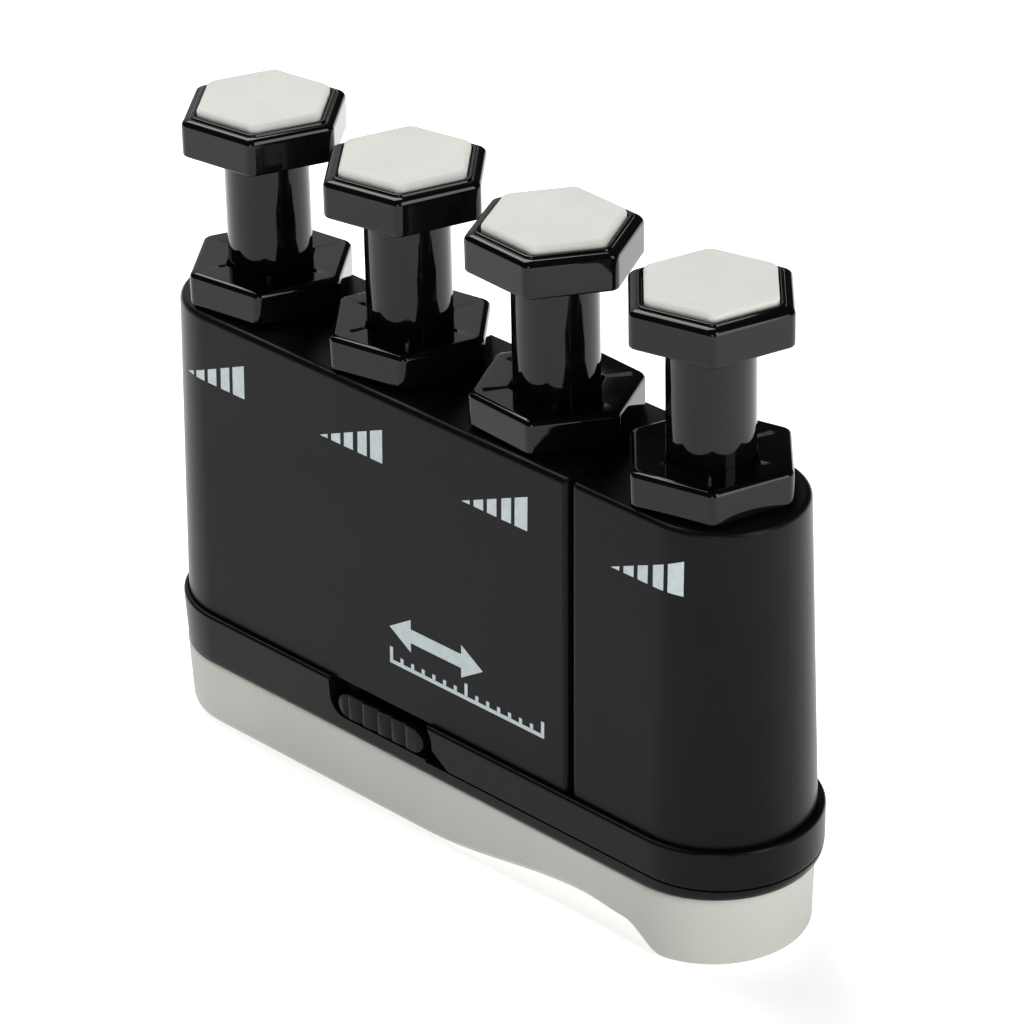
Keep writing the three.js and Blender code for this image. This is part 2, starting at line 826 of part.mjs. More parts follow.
pistonXs.forEach((x, i) => {
  const unit = new THREE.Group();
  unit.position.x = x;
  const turning = new THREE.Group();
  turning.rotation.z = THREE.MathUtils.degToRad(collarTurnsDegrees[i]);
  unit.add(turning);
  row.add(unit);

  const seatLift = threadLead * (collarTurnsDegrees[i] - lowStopDegrees) / 360;
  const springLow = seatLowest + seatThick + seatLift + springEndGap;
  const springHigh = sleeveRoof - runningGap - pistonFlangeThick - springEndGap;
  const n = i + 1;
  addPiece(turning, `finger_cap_${n}`, makeCap(), makeGlossBlack());
  addPiece(turning, `finger_pad_${n}`, makePad(), makePadGrey());
  addPiece(turning, `cap_screw_${n}`, makeCapScrew(), makeZinc());
  addPiece(turning, `piston_${n}`, makePiston(), makeGlossBlack());
  addPiece(turning, `tension_collar_${n}`, makeCollar(), makeGlossBlack());
  addPiece(turning, `retaining_ring_${n}`, makeRetainingRing(), makeSpringSteel());
  addPiece(unit, `spring_${n}`, makeSpring(springLow, springHigh), makeSpringSteel());
  addPiece(unit, `spring_seat_${n}`, makeSpringSeat(), makeNatural()).position.z = seatLift;
});

export default exerciser;
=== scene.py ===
"""Finger exerciser: the looks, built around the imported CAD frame.

Lengths are millimetres, and are turned into metres when a mesh is made. Only WELD_REACH, the floor and the
lights are given in metres. X is measured from the middle of the row of pistons, as in the CAD source, and
ROW_SHIFT takes it to the frame. UNIT_X and what span() returns are the frame's own.
"""

import json
import math

import bmesh
import bpy
import numpy as np
from mathutils import Matrix, Vector


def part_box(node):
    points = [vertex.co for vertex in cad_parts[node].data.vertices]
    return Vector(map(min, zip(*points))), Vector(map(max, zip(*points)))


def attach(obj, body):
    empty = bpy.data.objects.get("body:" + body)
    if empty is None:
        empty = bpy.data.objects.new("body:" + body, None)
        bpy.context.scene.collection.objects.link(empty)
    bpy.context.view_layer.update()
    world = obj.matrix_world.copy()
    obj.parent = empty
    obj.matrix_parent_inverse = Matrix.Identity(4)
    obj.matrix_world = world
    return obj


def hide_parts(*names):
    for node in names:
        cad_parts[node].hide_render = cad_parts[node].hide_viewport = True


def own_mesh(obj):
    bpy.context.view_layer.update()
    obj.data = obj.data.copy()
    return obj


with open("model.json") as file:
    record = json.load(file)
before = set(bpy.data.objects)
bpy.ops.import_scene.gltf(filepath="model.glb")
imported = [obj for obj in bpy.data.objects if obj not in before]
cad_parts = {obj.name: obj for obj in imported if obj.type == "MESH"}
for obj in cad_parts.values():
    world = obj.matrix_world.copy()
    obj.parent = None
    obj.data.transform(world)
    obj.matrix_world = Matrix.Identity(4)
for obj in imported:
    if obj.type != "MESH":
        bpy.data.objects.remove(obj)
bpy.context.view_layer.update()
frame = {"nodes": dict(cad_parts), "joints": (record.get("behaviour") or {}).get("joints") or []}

MM = 0.001
UNITS = (1, 2, 3, 4)


def joint(name):
    return next(j for j in frame["joints"] if j["name"] == name)


def row_x(n):
    """The X of a unit, measured from the middle of the row."""
    return UNIT_X[n - 1] - ROW_SHIFT


def span(node, axis):
    """Lowest and highest coordinate of a CAD node along an axis, in millimetres."""
    low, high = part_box(node)
    return low[axis] / MM, high[axis] / MM


# ---- Places, from the frame ----------------------------------------------------------------------

UNIT_X = [joint(f"collar_turn_{n}")["pos_m"][0] / MM for n in UNITS]
ROW_SHIFT = sum(UNIT_X) / len(UNIT_X)
PITCH = UNIT_X[1] - UNIT_X[0]
UNIT_BODY = {n: ("base" if n < 4 else "end_module") for n in UNITS}

# The line between flange and palm rest is drawn this much lower than in the CAD.
PALM_DROP = 0.2
PALM_TOP = span("palm_rest", 2)[1] - PALM_DROP
TRAY_LOW = span("base_tray", 2)[0] - PALM_DROP
CARRIAGE_LOW = span("slide_carriage", 2)[0]
HOUSING_LOW, HOUSING_TOP = span("main_housing", 2)
CAP_LOW, CAP_TOP = span("finger_cap_1", 2)
PAD_LOW, PAD_TOP = span("finger_pad_1", 2)
SLEEVE_LOW, COLLAR_TOP = span("tension_collar_1", 2)
PISTON_LOW, PISTON_TOP = span("piston_1", 2)
RING_LOW, RING_TOP = span("retaining_ring_1", 2)

# ---- Sizes that the frame doesn't give -----------------------------------------------------------

# How far each cap and collar is turned at rest, in degrees.
COLLAR_TURNS = (8, 11, -3.5, 14)
HEX_APOTHEM = 7.95
HEX_CORNER = 1.05

FOOT = {"left": -42.3, "right": 42.45, "half": 10.1}
HEAD = {"left": -41.65, "right": 41.7, "half": 8.9}
FLANGE = {"left": -42.8, "right": 43.3, "half": 10.8}
PALM = {"left": -42.7, "right": 42.1, "half": 10.4}
WALL = 1.3
TOP_PLATE = 2
SEAM_X = 21.25
SEAM_GAP = 0.7
REST_GAP = 0.1
RUN_GAP = 0.3
COLLAR_LOW = HOUSING_TOP + RUN_GAP
LIP_TOP = 14.1
TRAY_FLOOR = 13.4
STRIP_TOP = 9.5
CARRIAGE_LEFT = 1.1
FAR = 60

# A round end keeps a very short flat, and its second arc starts a little on, in degrees, so that no two
# points of an outline coincide.
END_FLAT = 0.01
ARC_SKIP = 0.01
# How far a cutting tool runs past the face it cuts.
PAST = 1

# ---- Outlines ------------------------------------------------------------------------------------


def arc(x, y, radius, start, end, steps):
    angles = np.radians(np.linspace(start, end, steps + 1))
    return np.stack([x + radius * np.cos(angles), y + radius * np.sin(angles)], 1)


def circle(radius, x=0.0, y=0.0, sides=96):
    return arc(x, y, radius, 0, 360 - 360 / sides, sides - 1)


def bar(left, right, half, left_radius, right_radius, steps=24, side_steps=1):
    """A bar seen from above, with its own corner radius at each end."""
    left_y, right_y = half - left_radius, half - right_radius
    top = np.linspace(right - right_radius, left + left_radius, side_steps + 1)[1:-1]
    return np.concatenate([
        arc(right - right_radius, -right_y, right_radius, -90, 0, steps),
        arc(right - right_radius, right_y, right_radius, ARC_SKIP, 90, steps),
        np.stack([top, np.full(len(top), half)], 1),
        arc(left + left_radius, left_y, left_radius, 90, 180, steps),
        arc(left + left_radius, -left_y, left_radius, 180 + ARC_SKIP, 270, steps),
        np.stack([top[::-1], np.full(len(top), -half)], 1),
    ])


def round_bar(shape, inset=0.0, steps=24, side_steps=1):
    half = shape["half"] - inset
    radius = half - END_FLAT
    return bar(shape["left"] + inset, shape["right"] - inset, half, radius, radius, steps, side_steps)


def hexagon(inset=0.0, steps=8):
    radius = HEX_CORNER
    reach = (HEX_APOTHEM - inset - radius) / math.cos(math.pi / 6)
    corners = []
    for k in range(6):
        angle = math.radians(60 * k)
        corners.append(
            arc(reach * math.cos(angle), reach * math.sin(angle), radius, 60 * k - 30, 60 * k + 30, steps)
        )
    return np.concatenate(corners)


def circle_like(outline, radius):
    """A circle with one point at the bearing of each point of another outline."""
    angles = np.arctan2(outline[:, 1], outline[:, 0])
    return radius * np.stack([np.cos(angles), np.sin(angles)], 1)


def rounded(path, step_degrees=15):
    """Rounds the corners of a path of (a, b, radius) points. The first and last stay as they are."""
    points = []
    for i, (a, b, radius) in enumerate(path):
        here = np.array([a, b], float)
        if radius == 0 or i in (0, len(path) - 1):
            points.append(here)
            continue
        before = np.array(path[i - 1][:2], float) - here
        after = np.array(path[i + 1][:2], float) - here
        before /= np.linalg.norm(before)
        after /= np.linalg.norm(after)
        half_angle = math.acos(np.clip(before @ after, -1, 1)) / 2
        turn = math.pi - 2 * half_angle
        centre = here + (before + after) / np.linalg.norm(before + after) * radius / math.sin(half_angle)
        start = here + before * radius / math.tan(half_angle) - centre
        side = math.copysign(1, before[1] * after[0] - before[0] * after[1])
        steps = max(2, round(math.degrees(turn) / step_degrees))
        for k in range(steps + 1):
            angle = side * turn * k / steps
            c, s = math.cos(angle), math.sin(angle)
            points.append(centre + np.array([c * start[0] - s * start[1], s * start[0] + c * start[1]]))
    return np.array(points)


# ---- Meshes --------------------------------------------------------------------------------------

WELD_REACH = 1e-7


def make(name, points, faces, weld=True):
    """A new mesh object from points in millimetres, measured from the middle of the row."""
    mesh = bpy.data.meshes.new(name)
    shifted = np.asarray(points, float) + np.array([ROW_SHIFT, 0, 0])
    mesh.from_pydata((shifted * MM).tolist(), [], faces)
    work = bmesh.new()
    work.from_mesh(mesh)
    if weld:
        bmesh.ops.remove_doubles(work, verts=work.verts, dist=WELD_REACH)
    bmesh.ops.recalc_face_normals(work, faces=work.faces)
    work.to_mesh(mesh)
    work.free()
    obj = bpy.data.objects.new(name, mesh)
    bpy.context.scene.collection.objects.link(obj)
    return obj


def band(count, low, high):
    """Four-sided faces between two rings of a loft, given by their places in it."""
    faces = []
    for i in range(count):
        j = (i + 1) % count
        faces.append((low * count + i, low * count + j, high * count + j, high * count + i))
    return faces


def loft(name, rings, cyclic=False):
    """Joins rings of equal point count, arrays of 3-D points. Open lofts get a flat face at each end."""
    count, total = len(rings[0]), len(rings)
    faces = []
    for k in range(total if cyclic else total - 1):
        faces += band(count, k, (k + 1) % total)
    if not cyclic:
        faces.append(tuple(range(count)))
        faces.append(tuple(range((total - 1) * count, total * count)))
    return make(name, np.concatenate(rings), faces)


def level(outline, z):
    return np.column_stack([outline, np.full(len(outline), z)])


def upright(outline, y):
    """An outline drawn in X and Z, set at a Y."""
    return np.column_stack([outline[:, 0], np.full(len(outline), y), outline[:, 1]])


def prism(name, outline, low, high):
    return loft(name, [level(outline, low), level(outline, high)])


def cross_prism(name, outline, y_low, y_high):
    """Extrudes an outline drawn in X and Z through a stretch of Y."""
    return loft(name, [upright(outline, y) for y in (y_low, y_high)])


def block(name, x_low, x_high, y_low, y_high, low, high):
    outline = np.array([[x_low, y_low], [x_high, y_low], [x_high, y_high], [x_low, y_high]], float)
    return prism(name, outline, low, high)


def post(name, radius, low, high, x=0.0, y=0.0, sides=64):
    return prism(name, circle(radius, x, y, sides), low, high)


def cross_post(name, radius, y_low, y_high, x, z, sides=64):
    return cross_prism(name, circle(radius, x, z, sides), y_low, y_high)


def combine(obj, operation, tools):
    for tool in tools:
        modifier = obj.modifiers.new(operation, "BOOLEAN")
        modifier.operation = operation
        modifier.solver = "EXACT"
        modifier.object = tool
        evaluated = obj.evaluated_get(bpy.context.evaluated_depsgraph_get())
        mesh = bpy.data.meshes.new_from_object(evaluated)
        obj.modifiers.clear()
        old = obj.data
        obj.data = mesh
        bpy.data.meshes.remove(old)
        bpy.data.objects.remove(tool)
    return obj


def cut(obj, *tools):
    return combine(obj, "DIFFERENCE", tools)


def join(obj, *tools):
    return combine(obj, "UNION", tools)


def keep_inside(obj, *tools):
    return combine(obj, "INTERSECT", tools)


def finish_mesh(obj, material, crease=35):
    """Smooth shading with sharp creases, and flats that stay flat."""
    obj.data.materials.clear()
    obj.data.materials.append(material)
    obj.data.polygons.foreach_set("material_index", [0] * len(obj.data.polygons))
    obj.data.shade_smooth()
    obj.data.set_sharp_from_angle(angle=math.radians(crease))
    normals = obj.modifiers.new("normals", "WEIGHTED_NORMAL")
    normals.keep_sharp = True
    return obj


def place(obj, body, slot, *nodes):
    """Rides on a body and stands for CAD nodes; the slot is not used."""
    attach(obj, body)
    if nodes:
        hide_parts(*nodes)


# ---- Materials -----------------------------------------------------------------------------------


def shade(display):
    """A linear grey or colour from 0-255 display values."""
    values = (display,) * 3 if isinstance(display, (int, float)) else display
    linear = [(v / 255 / 12.92) if v <= 10 else ((v / 255 + 0.055) / 1.055) ** 2.4 for v in values]
    return (*linear, 1.0)


NOISE_RANGE = (0.3, 0.7)


class Surface:
    """A Principled material whose colour, roughness and relief come from noise over the object."""

    def __init__(self, name, metallic=0.0, specular=0.5):
        self.material = bpy.data.materials.new(name)
        self.material.use_nodes = True
        self.nodes = self.material.node_tree.nodes
        self.links = self.material.node_tree.links
        self.shader = self.nodes["Principled BSDF"]
        self.shader.inputs["Metallic"].default_value = metallic
        self.shader.inputs["Specular IOR Level"].default_value = specular
        self.place = self.nodes.new("ShaderNodeTexCoord").outputs["Object"]
        self.relief = None

    def noise(self, scale, detail=3.0, stretch=(1, 1, 1)):
        mapping = self.nodes.new("ShaderNodeMapping")
        mapping.inputs["Scale"].default_value = stretch
        self.links.new(self.place, mapping.inputs["Vector"])
        texture = self.nodes.new("ShaderNodeTexNoise")
        texture.inputs["Scale"].default_value = scale
        texture.inputs["Detail"].default_value = detail
        self.links.new(mapping.outputs["Vector"], texture.inputs["Vector"])
        return texture.outputs["Fac"]

    def spread(self, source, low, high, start=NOISE_RANGE[0], end=NOISE_RANGE[1]):
        node = self.nodes.new("ShaderNodeMapRange")
        node.interpolation_type = "SMOOTHSTEP"
        node.inputs["From Min"].default_value = start
        node.inputs["From Max"].default_value = end
        node.inputs["To Min"].default_value = low
        node.inputs["To Max"].default_value = high
        self.links.new(source, node.inputs["Value"])
        return node.outputs["Result"]

    def colour(self, source, dark, light):
        ramp = self.nodes.new("ShaderNodeValToRGB")
        ramp.color_ramp.interpolation = "EASE"
        for element, position, tone in zip(ramp.color_ramp.elements, NOISE_RANGE, (dark, light)):
            element.position = position
            element.color = shade(tone)
        self.links.new(source, ramp.inputs["Fac"])
        self.links.new(ramp.outputs["Color"], self.shader.inputs["Base Color"])
        return self

    def roughness(self, source, low, high):
        self.links.new(self.spread(source, low, high), self.shader.inputs["Roughness"])
        return self

    def bump(self, source, height_mm, strength=1.0):
        node = self.nodes.new("ShaderNodeBump")
        node.inputs["Strength"].default_value = strength
        node.inputs["Distance"].default_value = height_mm * MM
        self.links.new(source, node.inputs["Height"])
        if self.relief:
            self.links.new(self.relief, node.inputs["Normal"])
        self.relief = node.outputs["Normal"]
        self.links.new(self.relief, self.shader.inputs["Normal"])
        return self


def make_satin_body():
    """Moulded black plastic with a fine satin grain, faint flow marks and slightly worn patches."""
    look = Surface("satin_black_plastic", specular=0.11)
    look.colour(look.noise(60, 4), 11, 15)
    look.roughness(look.noise(140, 5, (1, 1, 0.5)), 0.27, 0.34)
    look.bump(look.noise(5200, 2), 0.003)
    look.bump(look.noise(120, 2), 0.006, 0.4)
    return look.material


def make_gloss_moulding():
    """Polished black plastic: nearly mirror-like, with a trace of moulding ripple and handling haze."""
    look = Surface("gloss_black_plastic", specular=0.31)
    look.colour(look.noise(90, 3), (8, 7, 7), (12, 11, 11))
    look.roughness(look.noise(260, 5), 0.05, 0.09)
    look.bump(look.noise(120, 2), 0.004, 0.4)
    return look.material


def make_finger_pad():
    """Off-white soft rubber with a fine matt skin."""
    look = Surface("pale_pad_rubber", specular=0.3)
    look.colour(look.noise(180, 5), (225, 226, 219), (230, 231, 224))
    look.roughness(look.noise(700, 4), 0.55, 0.66)
    look.bump(look.noise(6000, 3), 0.006)
    look.bump(look.noise(260, 2), 0.012, 0.6)
    return look.material


def make_palm_rest():
    """Warm light grey thermoplastic rubber, softly matt."""
    look = Surface("grey_palm_rubber", specular=0.32)
    look.colour(look.noise(70, 5), (191, 192, 184), (196, 197, 189))
    look.roughness(look.noise(500, 4), 0.5, 0.6)
    look.bump(look.noise(5000, 3), 0.006)
    look.bump(look.noise(140, 3), 0.02, 0.6)
    return look.material


def make_spring_steel():
    look = Surface("spring_steel", metallic=1.0)
    look.colour(look.noise(600, 4), 150, 178)
    look.roughness(look.noise(900, 4, (1, 1, 6)), 0.2, 0.36)
    look.bump(look.noise(3500, 2, (1, 1, 8)), 0.003)
    return look.material


def make_zinc():
    look = Surface("bright_zinc_plate", metallic=1.0)
    look.colour(look.noise(400, 5), (176, 180, 186), (204, 206, 208))
    look.roughness(look.noise(800, 4), 0.24, 0.42)
    look.bump(look.noise(2600, 3), 0.003)
    return look.material


def make_blued_steel():
    look = Surface("blued_spring_steel", metallic=1.0)
    look.colour(look.noise(500, 4), (34, 35, 40), (48, 49, 54))
    look.roughness(look.noise(900, 4), 0.36, 0.5)
    look.bump(look.noise(3200, 2), 0.002)
    return look.material


def make_nylon():
    look = Surface("natural_nylon", specular=0.45)
    look.colour(look.noise(220, 4), (214, 209, 194), (226, 222, 209))
    look.roughness(look.noise(600, 4), 0.4, 0.54)
    look.bump(look.noise(4200, 3), 0.005)
    return look.material


def make_ink():
    """Pad-printed pale ink, slightly thin in places."""
    look = Surface("pale_print_ink", specular=0.3)
    look.colour(look.noise(1500, 5), (194, 206, 210), (206, 217, 220))
    look.roughness(look.noise(1200, 4), 0.42, 0.55)
    look.bump(look.noise(5000, 2), 0.002)
    return look.material


SATIN = make_satin_body()
GLOSS = make_gloss_moulding()
PAD = make_finger_pad()
PALM_RUBBER = make_palm_rest()
STEEL = make_spring_steel()
ZINC = make_zinc()
BLUED = make_blued_steel()
NYLON = make_nylon()
INK = make_ink()


# ---- Units: cap, pad, piston, collar -------------------------------------------------------------


def turn_and_move(obj, n):
    """Turns a piece made at the middle of the row by its collar's rest angle, and moves it to its place."""
    turn = Matrix.Rotation(math.radians(COLLAR_TURNS[n - 1]), 4, "Z")
    middle = Matrix.Translation((ROW_SHIFT * MM, 0, 0))
    there = Matrix.Translation((UNIT_X[n - 1] * MM, 0, 0))
    obj.data.transform(there @ turn @ middle.inverted())


def hex_path(path, steps=8):
    """Hexagonal rings from a path of (inset, z) points, with that many steps round each corner."""
    return [level(hexagon(inset, steps), z) for inset, z in path]


def hex_bore(path, steps=8):
    """Round rings from a path of (radius, z) points, point for point like the hexagonal ones."""
    return [level(circle_like(hexagon(steps=steps), radius), z) for radius, z in path]


def quarter(inset, z, depth, height, steps=6):
    """Quarter ellipse from the top of a wall at (inset, z) inwards by depth and upwards by height."""
    return [
        (inset + depth * (1 - math.cos(a)), z + height * math.sin(a))
        for a in np.linspace(0, math.pi / 2, steps + 1)
    ]


# A ring this far from a rounded edge keeps the face beside it flat.
FLAT_HOLD = 0.2
CAP_FOOT = 0.3
CAP_FOOT_HOLD = 0.9
CAP_EDGE = 0.74
CAP_LEDGE = CAP_TOP - 0.22
CAP_LIP = 0.16
CAP_LIP_INSET = 1.34
SOCKET_RADIUS = 4.55
SOCKET_TOP = 68
SCREW_RECESS = 2.1
SCREW_RECESS_DEPTH = 1.0
SCREW_CLEARANCE = 1.0
LEDGE_WIDTH = 0.08
LIP_START = 0.12
POCKET_EDGE = 0.12
POCKET_CHAMFER = 0.1
SOCKET_CHAMFER = 0.15


def hex_foot(low):
    """The lower edge of a cap or a collar, as (inset, z) points."""
    return [
        (CAP_FOOT * (1 - math.sin(a)), low + CAP_FOOT * (1 - math.cos(a)))
        for a in np.linspace(0, math.pi / 2, 5)
    ]


def make_cap(n):
    outside = hex_foot(CAP_LOW)
    outside += [(0, CAP_LOW + CAP_FOOT_HOLD), (0, CAP_LEDGE - CAP_EDGE - FLAT_HOLD)]
    outside += quarter(0, CAP_LEDGE - CAP_EDGE, CAP_EDGE, CAP_EDGE, 10)
    outside += [(CAP_EDGE + LEDGE_WIDTH, CAP_LEDGE)]
    outside += quarter(CAP_EDGE + LIP_START, CAP_TOP - CAP_LIP, CAP_LIP, CAP_LIP, 5)
    outside += [
        (CAP_LIP_INSET - POCKET_EDGE, CAP_TOP),
        (CAP_LIP_INSET - POCKET_EDGE / 4, CAP_TOP - POCKET_EDGE / 4),
        (CAP_LIP_INSET, CAP_TOP - POCKET_EDGE),
        (CAP_LIP_INSET, PAD_LOW),
        (CAP_LIP_INSET + POCKET_CHAMFER, PAD_LOW - POCKET_CHAMFER),
    ]
    pocket_floor = PAD_LOW - POCKET_CHAMFER
    recess_low = pocket_floor - SCREW_RECESS_DEPTH
    inside = [
        (SCREW_RECESS, pocket_floor),
        (SCREW_RECESS, recess_low),
        (SCREW_CLEARANCE, recess_low),
        (SCREW_CLEARANCE, SOCKET_TOP),
        (SOCKET_RADIUS, SOCKET_TOP),
        (SOCKET_RADIUS, CAP_LOW + SOCKET_CHAMFER),
        (SOCKET_RADIUS + SOCKET_CHAMFER, CAP_LOW),
    ]
    cap = finish_mesh(loft(f"cap_{n}", hex_path(outside) + hex_bore(inside), cyclic=True), GLOSS)
    turn_and_move(cap, n)
    place(cap, f"piston_{n}", "gloss_moulding", f"finger_cap_{n}")


PAD_INSET = 1.5
PAD_EDGE = 0.5
PAD_CROWN = 0.06
PAD_FOOT = 0.12
PAD_SHARES = np.linspace(0.88, 0.02, 14)


def make_pad(n):
    wall_top = PAD_TOP - PAD_CROWN - PAD_EDGE
    path = [(PAD_INSET + PAD_FOOT, PAD_LOW), (PAD_INSET, PAD_LOW + PAD_FOOT)]
    path += [(PAD_INSET, wall_top - 2 * FLAT_HOLD)]
    path += quarter(PAD_INSET, wall_top, PAD_EDGE, PAD_EDGE, 8)
    rings = hex_path(path)
    rim = hexagon(PAD_INSET + PAD_EDGE)
    for share in PAD_SHARES:
        rings.append(level(rim * share, PAD_TOP - PAD_CROWN * share ** 2))
    pad = finish_mesh(loft(f"pad_{n}", rings), PAD, crease=60)
    turn_and_move(pad, n)
    place(pad, f"piston_{n}", "finger_pad", f"finger_pad_{n}")


PISTON_RADIUS = 4.45
PISTON_BORE = 3
PISTON_BORE_TOP = 57.6
PILOT = {"radius": 0.8, "low": 58.6}
FLANGE_RING = {"radius": 5.5, "low": 46.4, "high": 48.4}
SPIGOT_RADIUS = 3.6
KEY = {"half": 0.6, "reach": 6.1, "low": 46.55, "high": 48.25}


def make_piston(n):
    path = [
        (PISTON_BORE, PISTON_BORE_TOP, 0),
        (PISTON_BORE, PISTON_LOW, 0.1),
        (SPIGOT_RADIUS, PISTON_LOW, 0.2),
        (SPIGOT_RADIUS, FLANGE_RING["low"], 0),
        (FLANGE_RING["radius"], FLANGE_RING["low"], 0.2),
        (FLANGE_RING["radius"], FLANGE_RING["high"], 0.2),
        (PISTON_RADIUS, FLANGE_RING["high"], 0.15),
        (PISTON_RADIUS, PISTON_TOP, 0.2),
        (PILOT["radius"], PISTON_TOP, 0.1),
        (PILOT["radius"], PILOT["low"], 0),
    ]
    rings = [level(circle(r), z) for r, z in rounded(path)]
    piston = loft(f"post_{n}", rings)
    rim = (FLANGE_RING["radius"] + SPIGOT_RADIUS) / 2
    half, low, high = KEY["half"], KEY["low"], KEY["high"]
    ends = ((-KEY["reach"], -rim), (rim, KEY["reach"]))
    join(piston, *[block("key", left, right, -half, half, low, high) for left, right in ends])
    finish_mesh(piston, GLOSS)
    turn_and_move(piston, n)
    place(piston, f"piston_{n}", "gloss_moulding", f"piston_{n}")


COLLAR_EDGE = 0.62
COLLAR_RISE = 0.66
COLLAR_BORE = 4.85
SLEEVE_RADIUS = 6.9
SLEEVE_BORE = 6
SLEEVE_ROOF = 48.7
RING_GROOVE = 6.5
KEYWAY = {"half": 0.9, "reach": 6.4, "low": 27.3, "high": SLEEVE_ROOF - 0.01}
COLLAR_STEPS = 14
BORE_EDGE = 0.2
SLEEVE_EDGE = 0.15


def make_collar(n):
    head = hex_foot(COLLAR_LOW)
    head += [(0, COLLAR_TOP - COLLAR_RISE - FLAT_HOLD)]
    head += quarter(0, COLLAR_TOP - COLLAR_RISE, COLLAR_EDGE, COLLAR_RISE, 10)
    head += [(COLLAR_EDGE + FLAT_HOLD, COLLAR_TOP)]
    inside = [
        (COLLAR_BORE + BORE_EDGE, COLLAR_TOP),
        (COLLAR_BORE + 0.3 * BORE_EDGE, COLLAR_TOP - 0.3 * BORE_EDGE),
        (COLLAR_BORE, COLLAR_TOP - BORE_EDGE),
        (COLLAR_BORE, SLEEVE_ROOF),
        (SLEEVE_BORE, SLEEVE_ROOF),
        (SLEEVE_BORE, SLEEVE_LOW + BORE_EDGE),
        (SLEEVE_BORE + BORE_EDGE, SLEEVE_LOW),
        (SLEEVE_RADIUS - SLEEVE_EDGE, SLEEVE_LOW),
        (SLEEVE_RADIUS, SLEEVE_LOW + SLEEVE_EDGE),
        (SLEEVE_RADIUS, RING_LOW - REST_GAP),
        (RING_GROOVE, RING_LOW - REST_GAP),
        (RING_GROOVE, RING_TOP + REST_GAP),
        (SLEEVE_RADIUS, RING_TOP + REST_GAP),
        (SLEEVE_RADIUS, COLLAR_LOW),
    ]
    rings = hex_path(head, COLLAR_STEPS) + hex_bore(inside, COLLAR_STEPS)
    collar = loft(f"collar_{n}", rings, cyclic=True)
    reach, half = KEYWAY["reach"], KEYWAY["half"]
    cut(collar, block("keyways", -reach, reach, -half, half, KEYWAY["low"], KEYWAY["high"]))
    finish_mesh(collar, GLOSS)
    turn_and_move(collar, n)
    place(collar, f"collar_{n}", "gloss_moulding", f"tension_collar_{n}")


TUBE_END = {"scale": 0.8, "past": 0.12}


def tube(name, line, radius, sides=14):
    """A round wire along a line of points, with rounded-off ends."""
    line = np.asarray(line, float)
    ahead = np.gradient(line, axis=0)
    ahead /= np.linalg.norm(ahead, axis=1)[:, None]
    up = np.array([0, 0, 1.0])
    side = np.cross(ahead, up)
    side /= np.linalg.norm(side, axis=1)[:, None]
    other = np.cross(side, ahead)
    ring = circle(radius, sides=sides)
    rings = []

    def add(i, scale, shift):
        centre = line[i] + ahead[i] * shift
        rings.append(centre + scale * (ring[:, :1] * side[i] + ring[:, 1:] * other[i]))

    add(0, TUBE_END["scale"], -TUBE_END["past"] * radius)
    for i in range(len(line)):
        add(i, 1.0, 0)
    add(-1, TUBE_END["scale"], TUBE_END["past"] * radius)
    return loft(name, rings)


SPRING = {"radius": 4.5, "wire": 0.45, "turns": 5, "steps": 36}
CLOSED_SLACK = 1.04


def coil_line(coil, low, high):
    """The middle line of a coil: its open turns, and a closed turn at each end."""
    radius, wire = coil["radius"], coil["wire"]
    low, high = low + wire, high - wire
    total = coil["turns"] + 2
    angle = np.linspace(0, total, total * coil["steps"] + 1)
    closed = 2 * wire * CLOSED_SLACK
    free = (high - low - 2 * closed) / (total - 2)
    rise = np.where(angle < 1, angle * closed, closed + (angle - 1) * free)
    rise = np.where(angle > total - 1, high - low - (total - angle) * closed, rise)
    turn = 2 * math.pi * angle
    return np.stack([radius * np.cos(turn), radius * np.sin(turn), low + rise], 1)


def make_spring(n):
    low, high = span(f"spring_{n}", 2)
    line = coil_line(SPRING, low, high)
    spring = tube(f"coil_{n}", line + np.array([row_x(n), 0, 0]), SPRING["wire"])
    finish_mesh(spring, STEEL, crease=50)
    place(spring, f"seat_{n}", "spring_steel", f"spring_{n}")
    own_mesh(spring)


# ---- Housings ------------------------------------------------------------------------------------

MAIN_FILLET = 0.8
END_FILLET = 0.6
SEAM_RADIUS = 0.6
SEAM_LEAN = 0.5
SEAM_EDGE_SHARE = 0.3
LEAST_RADIUS = 0.15
FOOT_EDGE = 0.12
BORE_RADIUS = SLEEVE_RADIUS + RUN_GAP
BOSS_WALL = 1.25
BOSS_HOLE = 13
WALL_RINGS = {"foot": 4, "head": 1, "count": 6}
NOTCH = {"right": 1, "rise": 0.05}
HOUSING_SCREW = {"radius": 1.15, "head": 2.3, "head_thick": 1.9}
HOUSING_SCREW_PLACES = [(-PITCH, 0), (0, 0)]
END_SCREW = {"radius": 0.85, "head": 1.7, "head_thick": 1.4, "from_seam": 2.9, "aside": 6.1}
END_SCREW_PLACES = [(SEAM_X + END_SCREW["from_seam"], side * END_SCREW["aside"]) for side in (-1, 1)]


def housing_shape(z):
    share = (z - HOUSING_LOW) / (HOUSING_TOP - HOUSING_LOW)
    return {key: FOOT[key] + (HEAD[key] - FOOT[key]) * share for key in FOOT}


def seam_x(z):
    """The seam leans a little towards the main housing at its top."""
    return SEAM_X - SEAM_LEAN * (z - HOUSING_LOW) / (HOUSING_TOP - HOUSING_LOW)


